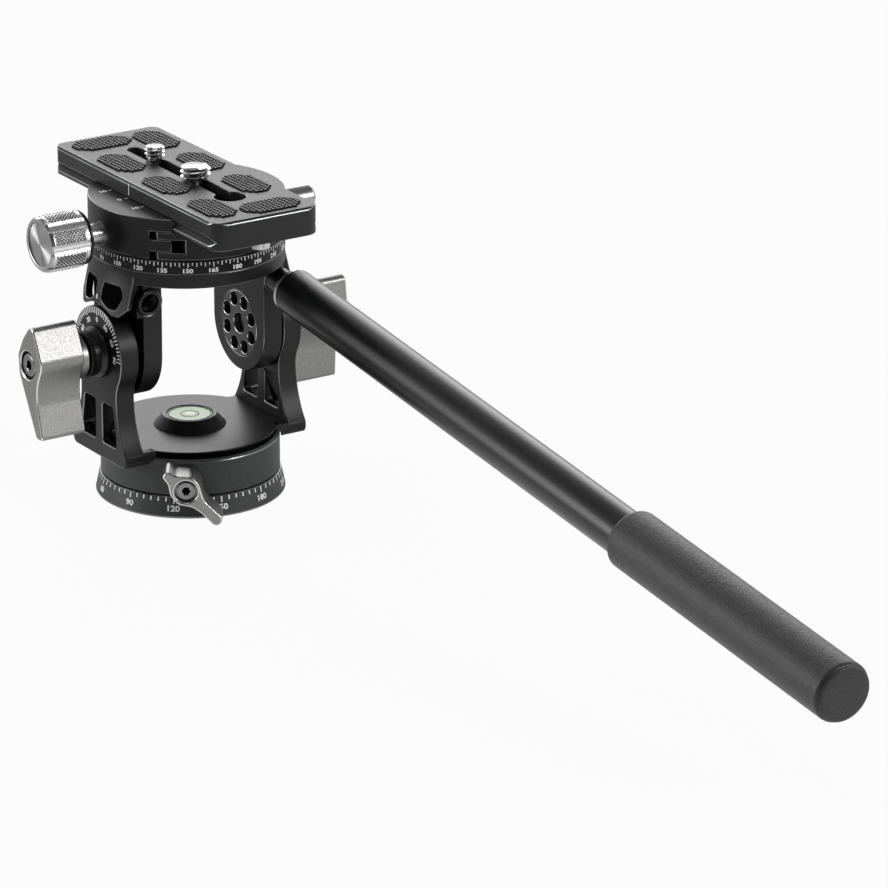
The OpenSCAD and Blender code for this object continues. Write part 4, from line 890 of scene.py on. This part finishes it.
def tilt_scale():
    """On the left yoke head, every 5 degrees to both sides, with numbers every 30."""
    face_x = -32.745
    tick_w, long_low, short_low, tick_top = 0.44, 11.8, 12.3, 14.1
    number_h, number_r, stretch = 1.7, 10.4, 1.15
    marks = Marks()

    def face(angle):
        a = math.radians(angle)

        def place(u, v):
            return (face_x, -math.cos(a) * u - math.sin(a) * v,
                    TILT_Z - math.sin(a) * u + math.cos(a) * v)
        return place
    for degree in range(-90, 91, 5):
        numbered = degree % 30 == 0
        marks.tick(tick_w, long_low if numbered else short_low, tick_top, face(degree))
        if numbered and degree > -90:
            marks.number(str(abs(degree)), number_h, moved(face(degree), number_r), stretch)
    marks.done("tilt_scale", "pan_head")


def small_marks():
    """The plate's index line, the marks on the jaw below it, and the zero of the tilt scale."""
    plate_x, jaw_z, index_y, number_x = -19.045, 97.745, 2.7, -22.4
    line = Marks()
    line.tick(0.35, 98.6, 102.4, lambda u, v: (plate_x, index_y - u, v))
    line.done("plate_index", "plate")
    jaw = Marks()
    for y, text in ((12.7, "10"), (index_y, "0"), (-7.3, "10")):
        jaw.tick(0.4, -20.7, -19.5, lambda u, v, y=y: (v, y - u, jaw_z))
        jaw.number(text, 1.9, lambda u, v, y=y: (number_x + u, y + v, jaw_z), 1.1)
    jaw.done("jaw_marks", "jaw")
    foot_r, foot_z, lean, side = 33.3, 64.6, 2.9 / 15.4, 180
    skirt = Marks()
    wall = round_wall(lambda z: foot_r - (z - foot_z) * lean, side)
    skirt.number("0", 1.5, moved(wall, 69.0))
    skirt.done("skirt_mark", "bridge")


base_scale()
upper_scale()
tilt_scale()
small_marks()


# What still shows of the CAD nodes takes its slot's finish

for name, obj in NODES.items():
    if obj.hide_render:
        continue
    mat = BY_SLOT.get(SLOT_OF[name], steel)
    if not obj.material_slots:
        obj.data.materials.append(mat)
    for s in obj.material_slots:
        s.material = mat


# Floor, light and camera, in metres

FLOOR_SIZE, FLOOR_DROP, FLOOR_GREY, FLOOR_WHITE = 30.0, 0.0002, 0.45, 0.95
# In reflections the floor shows a painted pool of light near the handle, and is painted darker far
# away, with a painted shadow under the head:
# a spot, the shares at the start and the end of the way from it, and that start and end
FLOOR_POOL = (((0.08, -0.22, 0), 1.0, 0.15, 0.24, 0.40), ((0.05, 0.0, 0), 0.35, 1.0, 0.03, 0.11))
ROOM_LIGHT = 0.40
CEILING = ((0.42, grey(1.0)), (0.72, grey(0.15)))
ROOM_DEPTH, FRONT_FALL = (0.54, 0.84, 0), (0.12, 1.0, -0.65, 0.15)
# Place, target, size and power
LAMPS = {"side_left": ((-0.93, 0.48, 0.30), (0, -0.05, 0.06), (0.4, 0.5), 5.0),
         "side_right": ((0.54, -1.02, 0.54), (0.0, -0.05, 0.06), (0.40, 0.30), 6.0),
         "back": ((0.7, 1.1, 0.7), (0, -0.05, 0.05), (1.5, 0.8), 11.0),
         "top": ((-0.2, 0.0, 1.4), (0, -0.05, 0.05), (0.9, 0.9), 3.5)}
LENS, SENSOR, CLIP_END = 250.25, 36.0, 100.0
EYE = (-0.92218, -1.57712, 0.67287)
RIGHT, UP, BACK = (0.8404, -0.5420, 0.0), (0.1840, 0.2853, 0.9406), (-0.5098, -0.7905, 0.3395)


def reckon(tree, operation, first, second):
    """A Math node. The first value is a link, the second a link or a number."""
    node = tree.nodes.new("ShaderNodeMath")
    node.operation = operation
    tree.links.new(first, node.inputs[0])
    if isinstance(second, float):
        node.inputs[1].default_value = second
    else:
        tree.links.new(second, node.inputs[1])
    return node.outputs[0]


def mixed(tree, share, first, second, out):
    """Puts a mix of two shaders on the output."""
    mix = tree.nodes.new("ShaderNodeMixShader")
    tree.links.new(share, mix.inputs[0])
    tree.links.new(first.outputs[0], mix.inputs[1])
    tree.links.new(second.outputs[0], mix.inputs[2])
    tree.links.new(mix.outputs[0], out.inputs["Surface"])


def floor_material():
    """White where it is seen, a painted pool of light and painted shadow in reflections, and matte
    for all other rays.
    """
    mat = bpy.data.materials.new("floor_white")
    mat.use_nodes = True
    tree = mat.node_tree
    tree.nodes.clear()
    out = tree.nodes.new("ShaderNodeOutputMaterial")
    matte = tree.nodes.new("ShaderNodeBsdfDiffuse")
    matte.inputs["Color"].default_value = (*grey(FLOOR_GREY), 1)
    glow = tree.nodes.new("ShaderNodeEmission")
    glow.inputs["Strength"].default_value = 1.0
    place = tree.nodes.new("ShaderNodeTexCoord")
    falls = []
    for spot, *fall in FLOOR_POOL:
        away = tree.nodes.new("ShaderNodeVectorMath")
        away.operation = "DISTANCE"
        away.inputs[1].default_value = spot
        tree.links.new(place.outputs["Object"], away.inputs[0])
        falls.append(spread(tree, away.outputs["Value"], *fall))
    path = tree.nodes.new("ShaderNodeLightPath").outputs
    camera_share = reckon(tree, "MULTIPLY", path["Is Camera Ray"], FLOOR_WHITE)
    through_share = reckon(tree, "MULTIPLY", path["Is Transmission Ray"], FLOOR_WHITE)
    glossy_share = reckon(tree, "MULTIPLY", path["Is Glossy Ray"],
                          reckon(tree, "MULTIPLY", *falls))
    seen = reckon(tree, "MAXIMUM", camera_share, through_share)
    mixed(tree, reckon(tree, "MAXIMUM", seen, glossy_share), matte, glow, out)
    return mat


def floor():
    s = FLOOR_SIZE
    mesh = bpy.data.meshes.new("floor")
    mesh.from_pydata([(-s, -s, 0), (s, -s, 0), (s, s, 0), (-s, s, 0)], [], [(0, 1, 2, 3)])
    mesh.materials.append(floor_material())
    obj = bpy.data.objects.new("floor", mesh)
    bpy.context.scene.collection.objects.link(obj)
    obj.location.z = -FLOOR_DROP


def world():
    """A white room up to well above the horizon, with a dimmer ceiling and a dim front."""
    sky = bpy.data.worlds.new("studio")
    bpy.context.scene.world = sky
    sky.use_nodes = True
    tree = sky.node_tree
    tree.nodes.clear()
    out = tree.nodes.new("ShaderNodeOutputWorld")
    soft = tree.nodes.new("ShaderNodeBackground")
    soft.inputs["Color"].default_value = (1, 1, 1, 1)
    soft.inputs["Strength"].default_value = ROOM_LIGHT
    room = tree.nodes.new("ShaderNodeBackground")
    room.inputs["Strength"].default_value = 1.0
    place = tree.nodes.new("ShaderNodeTexCoord")
    parts = tree.nodes.new("ShaderNodeSeparateXYZ")
    tree.links.new(place.outputs["Generated"], parts.inputs[0])
    depth = tree.nodes.new("ShaderNodeVectorMath")
    depth.operation = "DOT_PRODUCT"
    depth.inputs[1].default_value = ROOM_DEPTH
    tree.links.new(place.outputs["Generated"], depth.inputs[0])
    both = tree.nodes.new("ShaderNodeVectorMath")
    both.operation = "MULTIPLY"
    tree.links.new(ramp(tree, parts.outputs["Z"], CEILING), both.inputs[0])
    tree.links.new(spread(tree, depth.outputs["Value"], *FRONT_FALL), both.inputs[1])
    tree.links.new(both.outputs["Vector"], room.inputs["Color"])
    path = tree.nodes.new("ShaderNodeLightPath").outputs
    seen = reckon(tree, "MAXIMUM", path["Is Camera Ray"], path["Is Glossy Ray"])
    seen = reckon(tree, "MAXIMUM", seen, path["Is Transmission Ray"])
    mixed(tree, seen, soft, room, out)


def lamp(name, location, target, size, power):
    data = bpy.data.lights.new(name, "AREA")
    data.shape = "RECTANGLE"
    data.size, data.size_y = size
    data.energy = power
    obj = bpy.data.objects.new(name, data)
    bpy.context.scene.collection.objects.link(obj)
    obj.location = location
    towards = Vector(target) - Vector(location)
    obj.rotation_euler = towards.to_track_quat("-Z", "Y").to_euler()


floor()
world()
for name, setting in LAMPS.items():
    lamp(name, *setting)

camera = bpy.data.objects.new("camera", bpy.data.cameras.new("camera"))
bpy.context.scene.collection.objects.link(camera)
camera.data.sensor_width = SENSOR
camera.data.lens = LENS
camera.data.clip_end = CLIP_END
camera.matrix_world = Matrix([[RIGHT[i], UP[i], BACK[i], EYE[i]] for i in range(3)]
                             + [[0, 0, 0, 1]])
bpy.context.scene.camera = camera
bpy.context.scene.view_settings.view_transform = "Standard"
